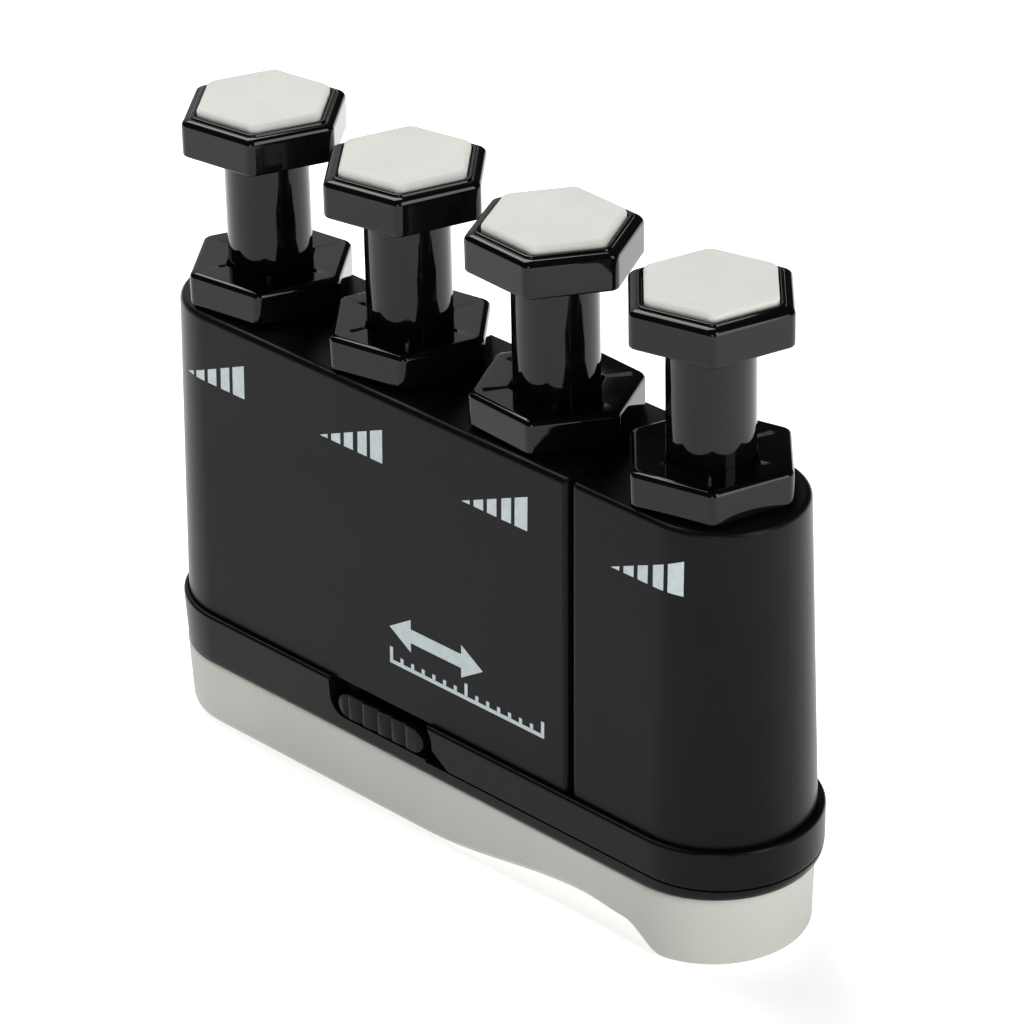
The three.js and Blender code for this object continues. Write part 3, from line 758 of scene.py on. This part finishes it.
def housing_outline(main, inset, z, seam_inset):
    shape = housing_shape(z)
    half = shape["half"] - inset
    seam_corner = max(SEAM_RADIUS - inset, LEAST_RADIUS)
    if main:
        right = seam_x(z) - SEAM_GAP / 2 - seam_inset
        return bar(shape["left"] + inset, right, half, half - END_FLAT, seam_corner, 32, 24)
    left = seam_x(z) + SEAM_GAP / 2 + seam_inset
    return bar(left, shape["right"] - inset, half, seam_corner, half - END_FLAT, 32, 12)


def housing_shell(name, main, bore_xs):
    path = [(WALL, HOUSING_TOP - TOP_PLATE, WALL), (WALL, HOUSING_LOW, WALL)]
    path += [(FOOT_EDGE, HOUSING_LOW, FOOT_EDGE), (0, HOUSING_LOW + FOOT_EDGE, 0)]
    fillet = MAIN_FILLET if main else END_FILLET
    wall_low, wall_high = HOUSING_LOW + WALL_RINGS["foot"], HOUSING_TOP - fillet - WALL_RINGS["head"]
    path += [(0, z, 0) for z in np.linspace(wall_low, wall_high, WALL_RINGS["count"])]
    for inset, z in quarter(0, HOUSING_TOP - fillet, fillet, fillet, 8):
        path.append((inset, z, inset * SEAM_EDGE_SHARE))
    rings = [level(housing_outline(main, inset, z, seam), z) for inset, z, seam in path]
    shell = loft(name, rings)
    low, high = HOUSING_TOP - TOP_PLATE - PAST, HOUSING_TOP + PAST
    return cut(shell, *[post("bore", BORE_RADIUS, low, high, x, sides=96) for x in bore_xs])


def add_bosses(shell, radius, places):
    low = HOUSING_LOW + REST_GAP
    high = HOUSING_TOP - TOP_PLATE / 2
    join(shell, *[post("boss", radius + BOSS_WALL, low, high, x, y, sides=40) for x, y in places])
    hole_top = HOUSING_LOW + BOSS_HOLE
    return cut(shell, *[post("hole", radius + REST_GAP, 0, hole_top, x, y, sides=32) for x, y in places])


def make_main_housing():
    shell = housing_shell("main_shell", True, [row_x(n) for n in UNITS[:-1]])
    notch_right, notch_top = CARRIAGE_LEFT + NOTCH["right"], LIP_TOP + NOTCH["rise"]
    cut(shell, block("notch", RECESS["left"], notch_right, -FAR, WALL - FOOT["half"], 0, notch_top))
    add_bosses(shell, HOUSING_SCREW["radius"], HOUSING_SCREW_PLACES)
    finish_mesh(shell, SATIN)
    place(shell, "base", "satin_body", "main_housing")


def make_end_housing():
    shell = housing_shell("end_shell", False, [row_x(UNITS[-1])])
    add_bosses(shell, END_SCREW["radius"], END_SCREW_PLACES)
    finish_mesh(shell, SATIN)
    place(shell, "end_module", "satin_body", "end_housing")


# ---- Base tray, slide carriage, latch ------------------------------------------------------------

FLANGE_LEAN = 0.3
FLANGE_EDGE = 0.42
TRAY_LOW_EDGE = 0.2
CARRIAGE_LOW_EDGE = 0.08
TUCK_TOP = 10.3
TUCK_DEPTH = 0.9
TUCK_CURVE = 0.98
FLANGE_STEPS = 40
LIP_CLEARANCE = 0.12
RAIL_TOP = 13.2
GUIDE_LEFT = 2.4
SLIDE_TRAVEL = 10.5
SPINE_NECK = 3.7
SPINE_HEAD = 4.9
SPINE_HEAD_LOW = 11.6
SPINE_RIGHT = SEAM_X - 1
RECESS = {"left": -13.4, "floor": 9.8, "corner": 2.1}
LATCH_HEAD = {"left": -12.3, "right": 0.4, "low": 9.95, "high": 12.8, "front": -10.6, "thick": 1.1}
LATCH_X = (LATCH_HEAD["left"] + LATCH_HEAD["right"]) / 2
LATCH_Z = (LATCH_HEAD["low"] + LATCH_HEAD["high"]) / 2
STRIP = {"y": -8, "thick": 0.6, "left": -14.6, "right": 13.6, "sunk": 0.4}
ARM = {"left": -9, "right": 6, "front": -7, "thick": 0.5}
LATCH_STOP = {"y": -5.9, "half": 1.6}
POST_RADIUS = 2.2
POST_FLAT = 1.7
POST_TOP = 29.3
POST_SUNK = 0.5
NECK_SUNK = 0.2
SINK_GAP = 0.2
RAIL_HOLLOW = {"radius": 3, "reach": 1.95, "z": 12.1}
RAIL_CORNER = {"rise": 3.15, "right": 4.2}


def flange_outline(z, inset=0.0):
    lean = (LIP_TOP - z) / (LIP_TOP - TRAY_LOW) * FLANGE_LEAN
    fall = max(0.0, (TUCK_TOP - z) / (TUCK_TOP - TRAY_LOW))
    tuck = TUCK_DEPTH * (1 - math.sqrt(max(0.0, 1 - (TUCK_CURVE * fall) ** 2)))
    shape = {"left": FLANGE["left"] + lean, "right": FLANGE["right"] - tuck, "half": FLANGE["half"] - lean}
    return round_bar(shape, inset, FLANGE_STEPS)


def flange_block(name, low, low_edge):
    rings = []
    for angle in np.linspace(0, math.pi / 2, 6):
        z = low + low_edge * (1 - math.sin(angle))
        rings.append(level(flange_outline(z, low_edge * (1 - math.cos(angle))), z))
    rings = rings[::-1]
    for z in np.linspace(low + low_edge, TUCK_TOP, 8)[1:]:
        rings.append(level(flange_outline(z), z))
    for inset, z in quarter(0, LIP_TOP - FLANGE_EDGE, FLANGE_EDGE, FLANGE_EDGE, 8):
        rings.append(level(flange_outline(z, inset), z))
    return loft(name, rings)


def inside_lip(floor):
    return prism("inside", round_bar(FOOT, -LIP_CLEARANCE, FLANGE_STEPS), floor, LIP_TOP + PAST)


def keyed_post(x, low):
    reach = POST_RADIUS + PAST
    flats = block("flats", x - reach, x + reach, -POST_FLAT, POST_FLAT, low - PAST, POST_TOP + PAST)
    return keep_inside(post("keyed", POST_RADIUS, low, POST_TOP, x, sides=48), flats)


def screw_holes(screw, plate_low, places):
    sink_top = plate_low + screw["head_thick"] + SINK_GAP
    tools = []
    for x, y in places:
        tools.append(post("clear", screw["radius"] + RUN_GAP, 0, LIP_TOP + 2 * PAST, x, y, sides=32))
        tools.append(post("sink", screw["head"] + SINK_GAP, 0, sink_top, x, y, sides=48))
    return tools


def latch_recess():
    corner = RECESS["corner"]
    left, floor = RECESS["left"], RECESS["floor"]
    outline = np.concatenate([
        [[left, LIP_TOP + PAST]],
        arc(left + corner, floor + corner, corner, 180, 270, 16),
        [[SLIDE_TRAVEL, floor], [SLIDE_TRAVEL, LIP_TOP + PAST]],
    ])
    return cross_prism("recess", outline, -FAR, -SPINE_NECK - RUN_GAP)


def make_tray():
    tray = flange_block("tray", TRAY_LOW, TRAY_LOW_EDGE)
    over_strip = block("over_strip", CARRIAGE_LEFT - RUN_GAP, FAR, -FAR, FAR, STRIP_TOP, LIP_TOP + PAST)
    cut(tray, inside_lip(TRAY_FLOOR), over_strip)
    neck = block("neck", 0, SPINE_RIGHT, -SPINE_NECK, SPINE_NECK, STRIP_TOP - NECK_SUNK, TRAY_FLOOR)
    head = block("head", GUIDE_LEFT, SPINE_RIGHT, -SPINE_HEAD, SPINE_HEAD, SPINE_HEAD_LOW, TRAY_FLOOR)
    join(tray, neck, head, *[keyed_post(row_x(n), TRAY_FLOOR - POST_SUNK) for n in UNITS[:-1]])
    half = STRIP["thick"] / 2 + REST_GAP
    slot = block(
        "slot", STRIP["left"] - REST_GAP, STRIP["right"] + REST_GAP, STRIP["y"] - half, STRIP["y"] + half,
        STRIP_TOP - STRIP["sunk"] - REST_GAP, LIP_TOP + PAST,
    )
    arm_space = block(
        "arm_space", ARM["left"] - RUN_GAP, GUIDE_LEFT, ARM["front"] - RUN_GAP, -SPINE_NECK,
        STRIP_TOP, LIP_TOP + PAST,
    )
    cut(tray, latch_recess(), arm_space, slot)
    cut(tray, *screw_holes(HOUSING_SCREW, TRAY_LOW, HOUSING_SCREW_PLACES))
    finish_mesh(tray, SATIN)
    place(tray, "base", "satin_body", "base_tray")


def make_carriage():
    carriage = flange_block("carriage", CARRIAGE_LOW, CARRIAGE_LOW_EDGE)
    hollow = cross_post(
        "hollow", RAIL_HOLLOW["radius"], -FAR, -SPINE_NECK,
        RAIL_HOLLOW["reach"] - RAIL_HOLLOW["radius"], RAIL_HOLLOW["z"], sides=96,
    )
    corner_outline = np.array([
        [CARRIAGE_LEFT - PAST, CARRIAGE_LOW + RAIL_CORNER["rise"]],
        [CARRIAGE_LEFT - PAST, 0],
        [RAIL_CORNER["right"], 0],
        [RAIL_CORNER["right"], CARRIAGE_LOW],
    ])
    cut(
        carriage,
        block("left_of_it", -FAR, CARRIAGE_LEFT, -FAR, FAR, 0, FAR),
        hollow,
        cross_prism("corner", corner_outline, -FAR, -SPINE_NECK),
        inside_lip(TRAY_FLOOR),
        keep_inside(inside_lip(RAIL_TOP), block("under_main", -FAR, SEAM_X, -FAR, FAR, 0, FAR)),
    )
    neck, head = SPINE_NECK + RUN_GAP, SPINE_HEAD + RUN_GAP
    half = STRIP["thick"] / 2 + RUN_GAP
    cut(
        carriage,
        block("neck_space", -FAR, SEAM_X, -neck, neck, 0, FAR),
        block("head_space", -FAR, SEAM_X, -head, head, SPINE_HEAD_LOW - RUN_GAP, FAR),
        block("strip_space", -FAR, STRIP["right"] + RUN_GAP, STRIP["y"] - half, STRIP["y"] + half, 0, FAR),
    )
    arm_back = -SPINE_HEAD - RUN_GAP
    arm_top = CARRIAGE_LOW + ARM["thick"]
    arm = block("arm", ARM["left"], ARM["right"], ARM["front"], arm_back, CARRIAGE_LOW, arm_top)
    stop_left, stop_right = LATCH_X - LATCH_STOP["half"], LATCH_X + LATCH_STOP["half"]
    stop = block("stop", stop_left, stop_right, LATCH_STOP["y"], arm_back, CARRIAGE_LOW, RAIL_TOP)
    join(carriage, arm, stop, keyed_post(row_x(UNITS[-1]), TRAY_FLOOR - POST_SUNK))
    cut(carriage, *screw_holes(END_SCREW, CARRIAGE_LOW, END_SCREW_PLACES))
    finish_mesh(carriage, SATIN)
    place(carriage, "end_module", "satin_body", "slide_carriage")


RIB_EDGES = (-10.79, -8.64, -6.37, -4.26, -2.16)
RIB = {"depth": 0.6, "steps": 12, "curve": 0.97, "nose": 0.12, "nose_share": 0.125, "step": 0.03}
OVAL_EDGE = ((0.22, 0), (0.06, 0.08), (0, 0.24))
SHANK = {"radius": 0.55, "sunk": 0.2, "end": STRIP["y"] + 1}
DISC = {"radius": 1.05, "half": 0.25}


def oval(inset, radius):
    """The outline of the thumb piece: straight above and below, round at each end."""
    half = radius - inset
    corner = half - END_FLAT
    return bar(LATCH_HEAD["left"] + inset, LATCH_HEAD["right"] - inset, half, corner, corner, 16)


def make_latch():
    """The thumb piece: ribs that step out at their left edge and curve back to the right."""
    front = LATCH_HEAD["front"]
    back = front + LATCH_HEAD["thick"]
    edges = (LATCH_HEAD["left"], *RIB_EDGES, LATCH_HEAD["right"])
    face = []
    for i, (start, end) in enumerate(zip(edges, edges[1:])):
        depth = RIB["depth"] if 0 < i < len(edges) - 2 else RIB["depth"] / 2
        for t in np.linspace(0, 1, RIB["steps"] + 1):
            fall = 1 - math.sqrt(1 - (RIB["curve"] * t) ** 2)
            nose = RIB["nose"] * max(0.0, 1 - t / RIB["nose_share"])
            face.append((start + (end - start) * t, front + depth * fall + nose))
        face[-1] = (face[-1][0] - RIB["step"], face[-1][1])
    outline = np.array(face + [(LATCH_HEAD["right"], back), (LATCH_HEAD["left"], back)])
    ribs = prism("latch", outline, LATCH_HEAD["low"] - PAST, LATCH_HEAD["high"] + PAST)
    radius = (LATCH_HEAD["high"] - LATCH_HEAD["low"]) / 2
    rings = [upright(oval(inset, radius) + (0, LATCH_Z), front + behind) for inset, behind in OVAL_EDGE]
    rings.append(upright(oval(0, radius) + (0, LATCH_Z), back))
    keep_inside(ribs, loft("oval", rings))
    shank = cross_post("shank", SHANK["radius"], back - SHANK["sunk"], SHANK["end"], LATCH_X, LATCH_Z, 32)
    disc_front, disc_back = STRIP["y"] - DISC["half"], STRIP["y"] + DISC["half"]
    disc = cross_post("disc", DISC["radius"], disc_front, disc_back, LATCH_X, LATCH_Z, 48)
    join(ribs, shank, disc)
    finish_mesh(ribs, SATIN, crease=30)
    place(ribs, "latch", "satin_body", "latch_button")


LATCH_SPRING = {"radius": 0.9, "wire": 0.15, "turns": 4, "steps": 24}


def make_latch_spring():
    """The coil behind the latch's disc lies along Y."""
    low, high = span("latch_spring", 1)
    spring = tube("latch_coil", coil_line(LATCH_SPRING, low, high), LATCH_SPRING["wire"], 10)
    there = Matrix.Translation((LATCH_X * MM, 0, LATCH_Z * MM))
    spring.data.transform(there @ Matrix.Rotation(math.radians(-90), 4, "X"))
    finish_mesh(spring, STEEL, crease=50)
    place(spring, "end_module", "spring_steel", "latch_spring")
    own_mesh(spring)


# ---- Palm rest -----------------------------------------------------------------------------------

PALM_EDGE = 1.15
LOBE_EDGE = 0.35
PALM_LEAN = 0.3
WAIST_DEPTH = 2.6
WAIST_XS = (0, 23, 28.6, 34)
PALM_STEPS = 40
PALM_SIDE_STEPS = 120
PALM_RIM = 0.15


def smoothstep(x, start, end):
    t = np.clip((x - start) / (end - start), 0, 1)
    return t * t * (3 - 2 * t)


def underside(x):
    start, crest_low, crest_high, end = WAIST_XS
    return WAIST_DEPTH * (smoothstep(x, start, crest_low) - smoothstep(x, crest_high, end))


def edge_radius(x):
    """The lower edge is rounder along the flat and the waist than round the lobe."""
    start, end = WAIST_XS[1:3]
    return PALM_EDGE + (LOBE_EDGE - PALM_EDGE) * smoothstep(x, start, end)


def palm_outline(inset):
    return round_bar(PALM, inset, PALM_STEPS, PALM_SIDE_STEPS)


def palm_edge(angle):
    """A ring of the rounded lower edge: 90 degrees at the underside, 0 at the wall."""
    wall = palm_outline(PALM_LEAN)
    inward = palm_outline(PALM_LEAN + 1) - wall
    radius = edge_radius(wall[:, 0])
    outline = wall + inward * (radius * (1 - math.cos(angle)))[:, None]
    return np.column_stack([outline, underside(wall[:, 0]) + radius * (1 - math.sin(angle))])


def palm_wall(share):
    """A ring of the wall, that share of the way up from the rounded edge to the top."""
    outline = palm_outline(PALM_LEAN * (1 - share))
    low = underside(outline[:, 0]) + edge_radius(outline[:, 0])
    return np.column_stack([outline, low + share * (PALM_TOP - low)])


def palm_underside(count):
    """Faces across the underside: each joins two points of the front to the two behind them."""
    faces = []
    last_right = 2 * PALM_STEPS + 1
    for i in range(PALM_STEPS + 1, count // 2 + PALM_STEPS):
        quad = (i, i + 1, (last_right - i - 1) % count, (last_right - i) % count)
        faces.append(tuple(dict.fromkeys(quad)))
    return faces


def make_palm():
    rings = [palm_edge(angle) for angle in np.linspace(math.pi / 2, 0, 11)]
    rings += [palm_wall(share) for share in (0.3, 0.6, 0.9)]
    rings.append(level(palm_outline(0), PALM_TOP - PALM_RIM))
    rings.append(level(palm_outline(PALM_RIM), PALM_TOP))
    count = len(rings[0])
    faces = []
    for k in range(len(rings) - 1):
        faces += band(count, k, k + 1)
    faces.append(tuple(range((len(rings) - 1) * count, len(rings) * count)))
    faces += palm_underside(count)
    palm = make("palm_pad", np.concatenate(rings), faces)
    finish_mesh(palm, PALM_RUBBER, crease=60)
    place(palm, "base", "palm_rest", "palm_rest")


# ---- Printing ------------------------------------------------------------------------------------

INK_THICK = 0.02
INK_SUNK = 0.03
INK_CELL = 0.35


def front_point(s, z, lift):
    """A point on the drafted front, s along it from the middle of the row and lift proud of it."""
    shape = housing_shape(z)
    half = shape["half"]
    left_end, right_end = shape["left"] + half, shape["right"] - half
    if left_end <= s <= right_end:
        return (s, -half - lift, z)
    end = right_end if s > right_end else left_end
    angle = (s - end) / half
    return (end + (half + lift) * math.sin(angle), -(half + lift) * math.cos(angle), z)


def ink_patch(corners):
    """Points and faces of a thin printed patch.

    The corners are (s, z) in this order: low left, low right, top right, top left.
    """
    a, b, c, d = (np.array(p, float) for p in corners)
    across = max(1, math.ceil(max(np.linalg.norm(b - a), np.linalg.norm(c - d)) / INK_CELL))
    up = 2
    row = across + 1
    count = row * (up + 1)
    points = []
    for lift in (INK_THICK, -INK_SUNK):
        for v in np.linspace(0, 1, up + 1):
            for u in np.linspace(0, 1, row):
                low, high = a + (b - a) * u, d + (c - d) * u
                s, z = low + (high - low) * v
                points.append(front_point(s, z, lift))
    faces = []
    for j in range(up):
        for i in range(across):
            k = j * row + i
            quad = (k, k + 1, k + row + 1, k + row)
            faces.append(quad)
            faces.append(tuple(count + q for q in quad[::-1]))
    rim = list(range(row))
    rim += [j * row + across for j in range(1, up + 1)]
    rim += [up * row + i for i in range(across - 1, -1, -1)]
    rim += [j * row for j in range(up - 1, 0, -1)]
    for i, k in enumerate(rim):
        after = rim[(i + 1) % len(rim)]
        faces.append((k, after, count + after, count + k))
    return points, faces


def make_print(name, patches, body):
    points, faces = [], []
    for corners in patches:
        new_points, new_faces = ink_patch(corners)
        faces += [tuple(len(points) + i for i in face) for face in new_faces]
        points += new_points
    ink = make(name, points, faces, weld=False)
    ink.data.materials.append(INK)
    ink.data.shade_smooth()
    ink.data.set_sharp_from_angle(angle=math.radians(40))
    place(ink, body, "satin_body")


WEDGE_PITCH = 20.75
WEDGE_MIDDLE = 4.75
WEDGE_BARS = ((-9.25, -8.12), (-7.55, -6.2), (-5.65, -4.33), (-3.62, -2.28), (-1.76, 0))
WEDGE_LOW = 41.8
WEDGE_HIGH = 45.62
WEDGE_BLUNT = 0.02
WEDGE_4_RAISE = 0.4


def make_wedges():
    tip = WEDGE_BARS[0][0]
    slope = (WEDGE_HIGH - WEDGE_LOW) / -tip
    for n in UNITS:
        right = WEDGE_MIDDLE + (n - 2.5) * WEDGE_PITCH
        patches = []
        low = WEDGE_LOW + (WEDGE_4_RAISE if n == 4 else 0)
        for start, end in WEDGE_BARS:
            start_top, end_top = (low + slope * (s - tip) + WEDGE_BLUNT for s in (start, end))
            patches.append([
                (right + start, low),
                (right + end, low),
                (right + end, end_top),
                (right + start, start_top),
            ])
        make_print(f"wedge_{n}", patches, UNIT_BODY[n])


ARROW = {"left": -4.7, "right": 8.9, "z": 23.35, "half": 0.8, "head": 3.1, "head_half": 1.9, "tip": 0.01}
RULER = {"left": -4.7, "right": 17.7, "low": 19.1, "line": 0.44}
TICKS = {"count": 14, "high": 1.05, "long_high": 1.9, "long_every": 7, "overlap": 0.1}


def arrow_patches():
    """The shaft and the two heads of a double-headed arrow. Each stretch has a half height at either end."""
    z, shaft, wide, tip = ARROW["z"], ARROW["half"], ARROW["head_half"], ARROW["tip"]
    left, right = ARROW["left"], ARROW["right"]
    neck_left, neck_right = left + ARROW["head"], right - ARROW["head"]
    stretches = (
        (neck_left, neck_right, shaft, shaft),
        (left, neck_left, tip, wide),
        (neck_right, right, wide, tip),
    )
    return [[(a, z - p), (b, z - q), (b, z + q), (a, z + p)] for a, b, p, q in stretches]


def ruler_patches():
    """A line with upright ticks, some of them longer."""
    low, line = RULER["low"], RULER["line"]
    left, right = RULER["left"], RULER["right"]
    patches = [[(left, low), (right, low), (right, low + line), (left, low + line)]]
    foot = low + line * (1 - TICKS["overlap"])
    for k in range(TICKS["count"] + 1):
        middle = left + line / 2 + (right - left - line) * k / TICKS["count"]
        top = low + TICKS["long_high" if k % TICKS["long_every"] == 0 else "high"]
        a, b = middle - line / 2, middle + line / 2
        patches.append([(a, foot), (b, foot), (b, top), (a, top)])
    return patches


def make_slide_symbol():
    """A generic mark for the sliding end: a double-headed arrow over a scale."""
    make_print("slide_mark", arrow_patches() + ruler_patches(), "base")


# ---- CAD nodes that stay -------------------------------------------------------------------------


def refinish(node, material):
    obj = frame["nodes"][node]
    for material_slot in obj.material_slots:
        material_slot.material = material
    if not obj.material_slots:
        obj.data.materials.append(material)


def refinish_hidden_parts():
    refinish("detent_strip", BLUED)
    for k in (1, 2):
        refinish(f"housing_screw_{k}", ZINC)
        refinish(f"end_screw_{k}", ZINC)
    for n in UNITS:
        refinish(f"cap_screw_{n}", ZINC)
        refinish(f"retaining_ring_{n}", STEEL)
        refinish(f"spring_seat_{n}", NYLON)


# ---- Camera, floor and light ---------------------------------------------------------------------

CAMERA = {"azimuth": 45.493, "elevation": 28.91, "roll": 1.272, "lens": 176.9}
CAMERA_DISTANCE = 23.812
CAMERA_ASIDE = 0.1240
CAMERA_BELOW = 1.4829
AIM_HEIGHT = 70.1


def bearing(azimuth, elevation):
    """The direction from the object towards a camera or light at that bearing and height, in degrees."""
    a, e = math.radians(azimuth), math.radians(elevation)
    return Vector((math.sin(a) * math.cos(e), -math.cos(a) * math.cos(e), math.sin(e)))


def make_camera():
    """Stands off by distances counted in piston pitches, from a point over the middle of the row."""
    azimuth, roll = math.radians(CAMERA["azimuth"]), math.radians(CAMERA["roll"])
    back = bearing(CAMERA["azimuth"], CAMERA["elevation"])
    right = Vector((math.cos(azimuth), math.sin(azimuth), 0))
    up = back.cross(right)
    aim = Vector((ROW_SHIFT, 0, AIM_HEIGHT))
    place_mm = aim + PITCH * (CAMERA_ASIDE * right - CAMERA_BELOW * up + CAMERA_DISTANCE * back)
    c, s = math.cos(roll), math.sin(roll)
    across = c * right - s * up
    upward = s * right + c * up
    data = bpy.data.cameras.new("camera")
    data.lens = CAMERA["lens"]
    data.clip_start = 0.01
    data.clip_end = 50
    camera = bpy.data.objects.new("camera", data)
    rotation = Matrix((across, upward, back)).transposed().to_4x4()
    camera.matrix_world = Matrix.Translation(place_mm * MM) @ rotation
    bpy.context.scene.collection.objects.link(camera)
    bpy.context.scene.camera = camera


LIGHT_AIM = (0, 0, 0.04)


def add_light(name, azimuth, elevation, distance, width, height, radiance):
    """A soft box that faces the object, placed by bearing and height as a camera would be."""
    data = bpy.data.lights.new(name, "AREA")
    data.shape = "RECTANGLE"
    data.size = width
    data.size_y = height
    data.energy = radiance * math.pi * width * height
    light = bpy.data.objects.new(name, data)
    back = bearing(azimuth, elevation)
    light.location = Vector(LIGHT_AIM) + back * distance
    light.rotation_euler = back.to_track_quat("Z", "Y").to_euler()
    bpy.context.scene.collection.objects.link(light)


FLOOR_REACH = 3
FLOOR_LEVEL = -0.00005
# Painted light on the floor: its glow is weakest near the object, as painted shade, and grows outwards.
GLOW_MIDDLE = (0, -0.03, 0)
GLOW = {"low": 0.56, "high": 1.1, "start": 0.07, "end": 0.24}


def make_floor():
    """A plain white sheet with painted light: it glows a little, and more with the distance from a point
    near the object, so the weaker glow near the object stands in for shade there.
    """
    mesh = bpy.data.meshes.new("floor")
    ends = (-FLOOR_REACH, FLOOR_REACH)
    mesh.from_pydata([(x, y, FLOOR_LEVEL) for y in ends for x in ends], [], [(0, 1, 3, 2)])
    floor = bpy.data.objects.new("floor", mesh)
    bpy.context.scene.collection.objects.link(floor)
    look = Surface("white_paper_painted_glow", specular=0.1)
    look.colour(look.noise(8, 3), 247, 250)
    look.roughness(look.noise(40, 3), 0.8, 0.9)
    look.shader.inputs["Emission Color"].default_value = (1, 1, 1, 1)
    distance = look.nodes.new("ShaderNodeVectorMath")
    distance.operation = "DISTANCE"
    distance.inputs[1].default_value = GLOW_MIDDLE
    look.links.new(look.place, distance.inputs[0])
    # Painted light: emission that grows with the distance from GLOW_MIDDLE, dimmer near the object as
    # painted shade.
    glow = look.spread(distance.outputs["Value"], **GLOW)
    look.links.new(glow, look.shader.inputs["Emission Strength"])
    mesh.materials.append(look.material)


SKY_COLOUR = (0.9, 0.95, 1, 1)
SKY_STRENGTH = 0.03


def make_world():
    world = bpy.data.worlds.new("studio")
    world.use_nodes = True
    background = world.node_tree.nodes["Background"]
    background.inputs["Color"].default_value = SKY_COLOUR
    background.inputs["Strength"].default_value = SKY_STRENGTH
    bpy.context.scene.world = world
    bpy.context.scene.view_settings.view_transform = "Standard"


def make_studio():
    make_world()
    make_floor()
    add_light("key", 252, 58, distance=0.9, width=0.6, height=0.52, radiance=6.6)
    add_light("back_left", 250, 26, distance=0.5, width=0.42, height=0.3, radiance=0.6)
    add_light("right", 92, 25, distance=0.8, width=0.3, height=0.74, radiance=4.8)
    add_light("front", 38, 18, distance=1.2, width=0.24, height=0.3, radiance=8.5)


# ---- Assembly ------------------------------------------------------------------------------------

make_camera()
make_main_housing()
make_end_housing()
make_tray()
make_carriage()
make_latch()
make_latch_spring()
make_palm()
for unit in UNITS:
    make_cap(unit)
    make_pad(unit)
    make_piston(unit)
    make_collar(unit)
    make_spring(unit)
make_wedges()
make_slide_symbol()
refinish_hidden_parts()
make_studio()
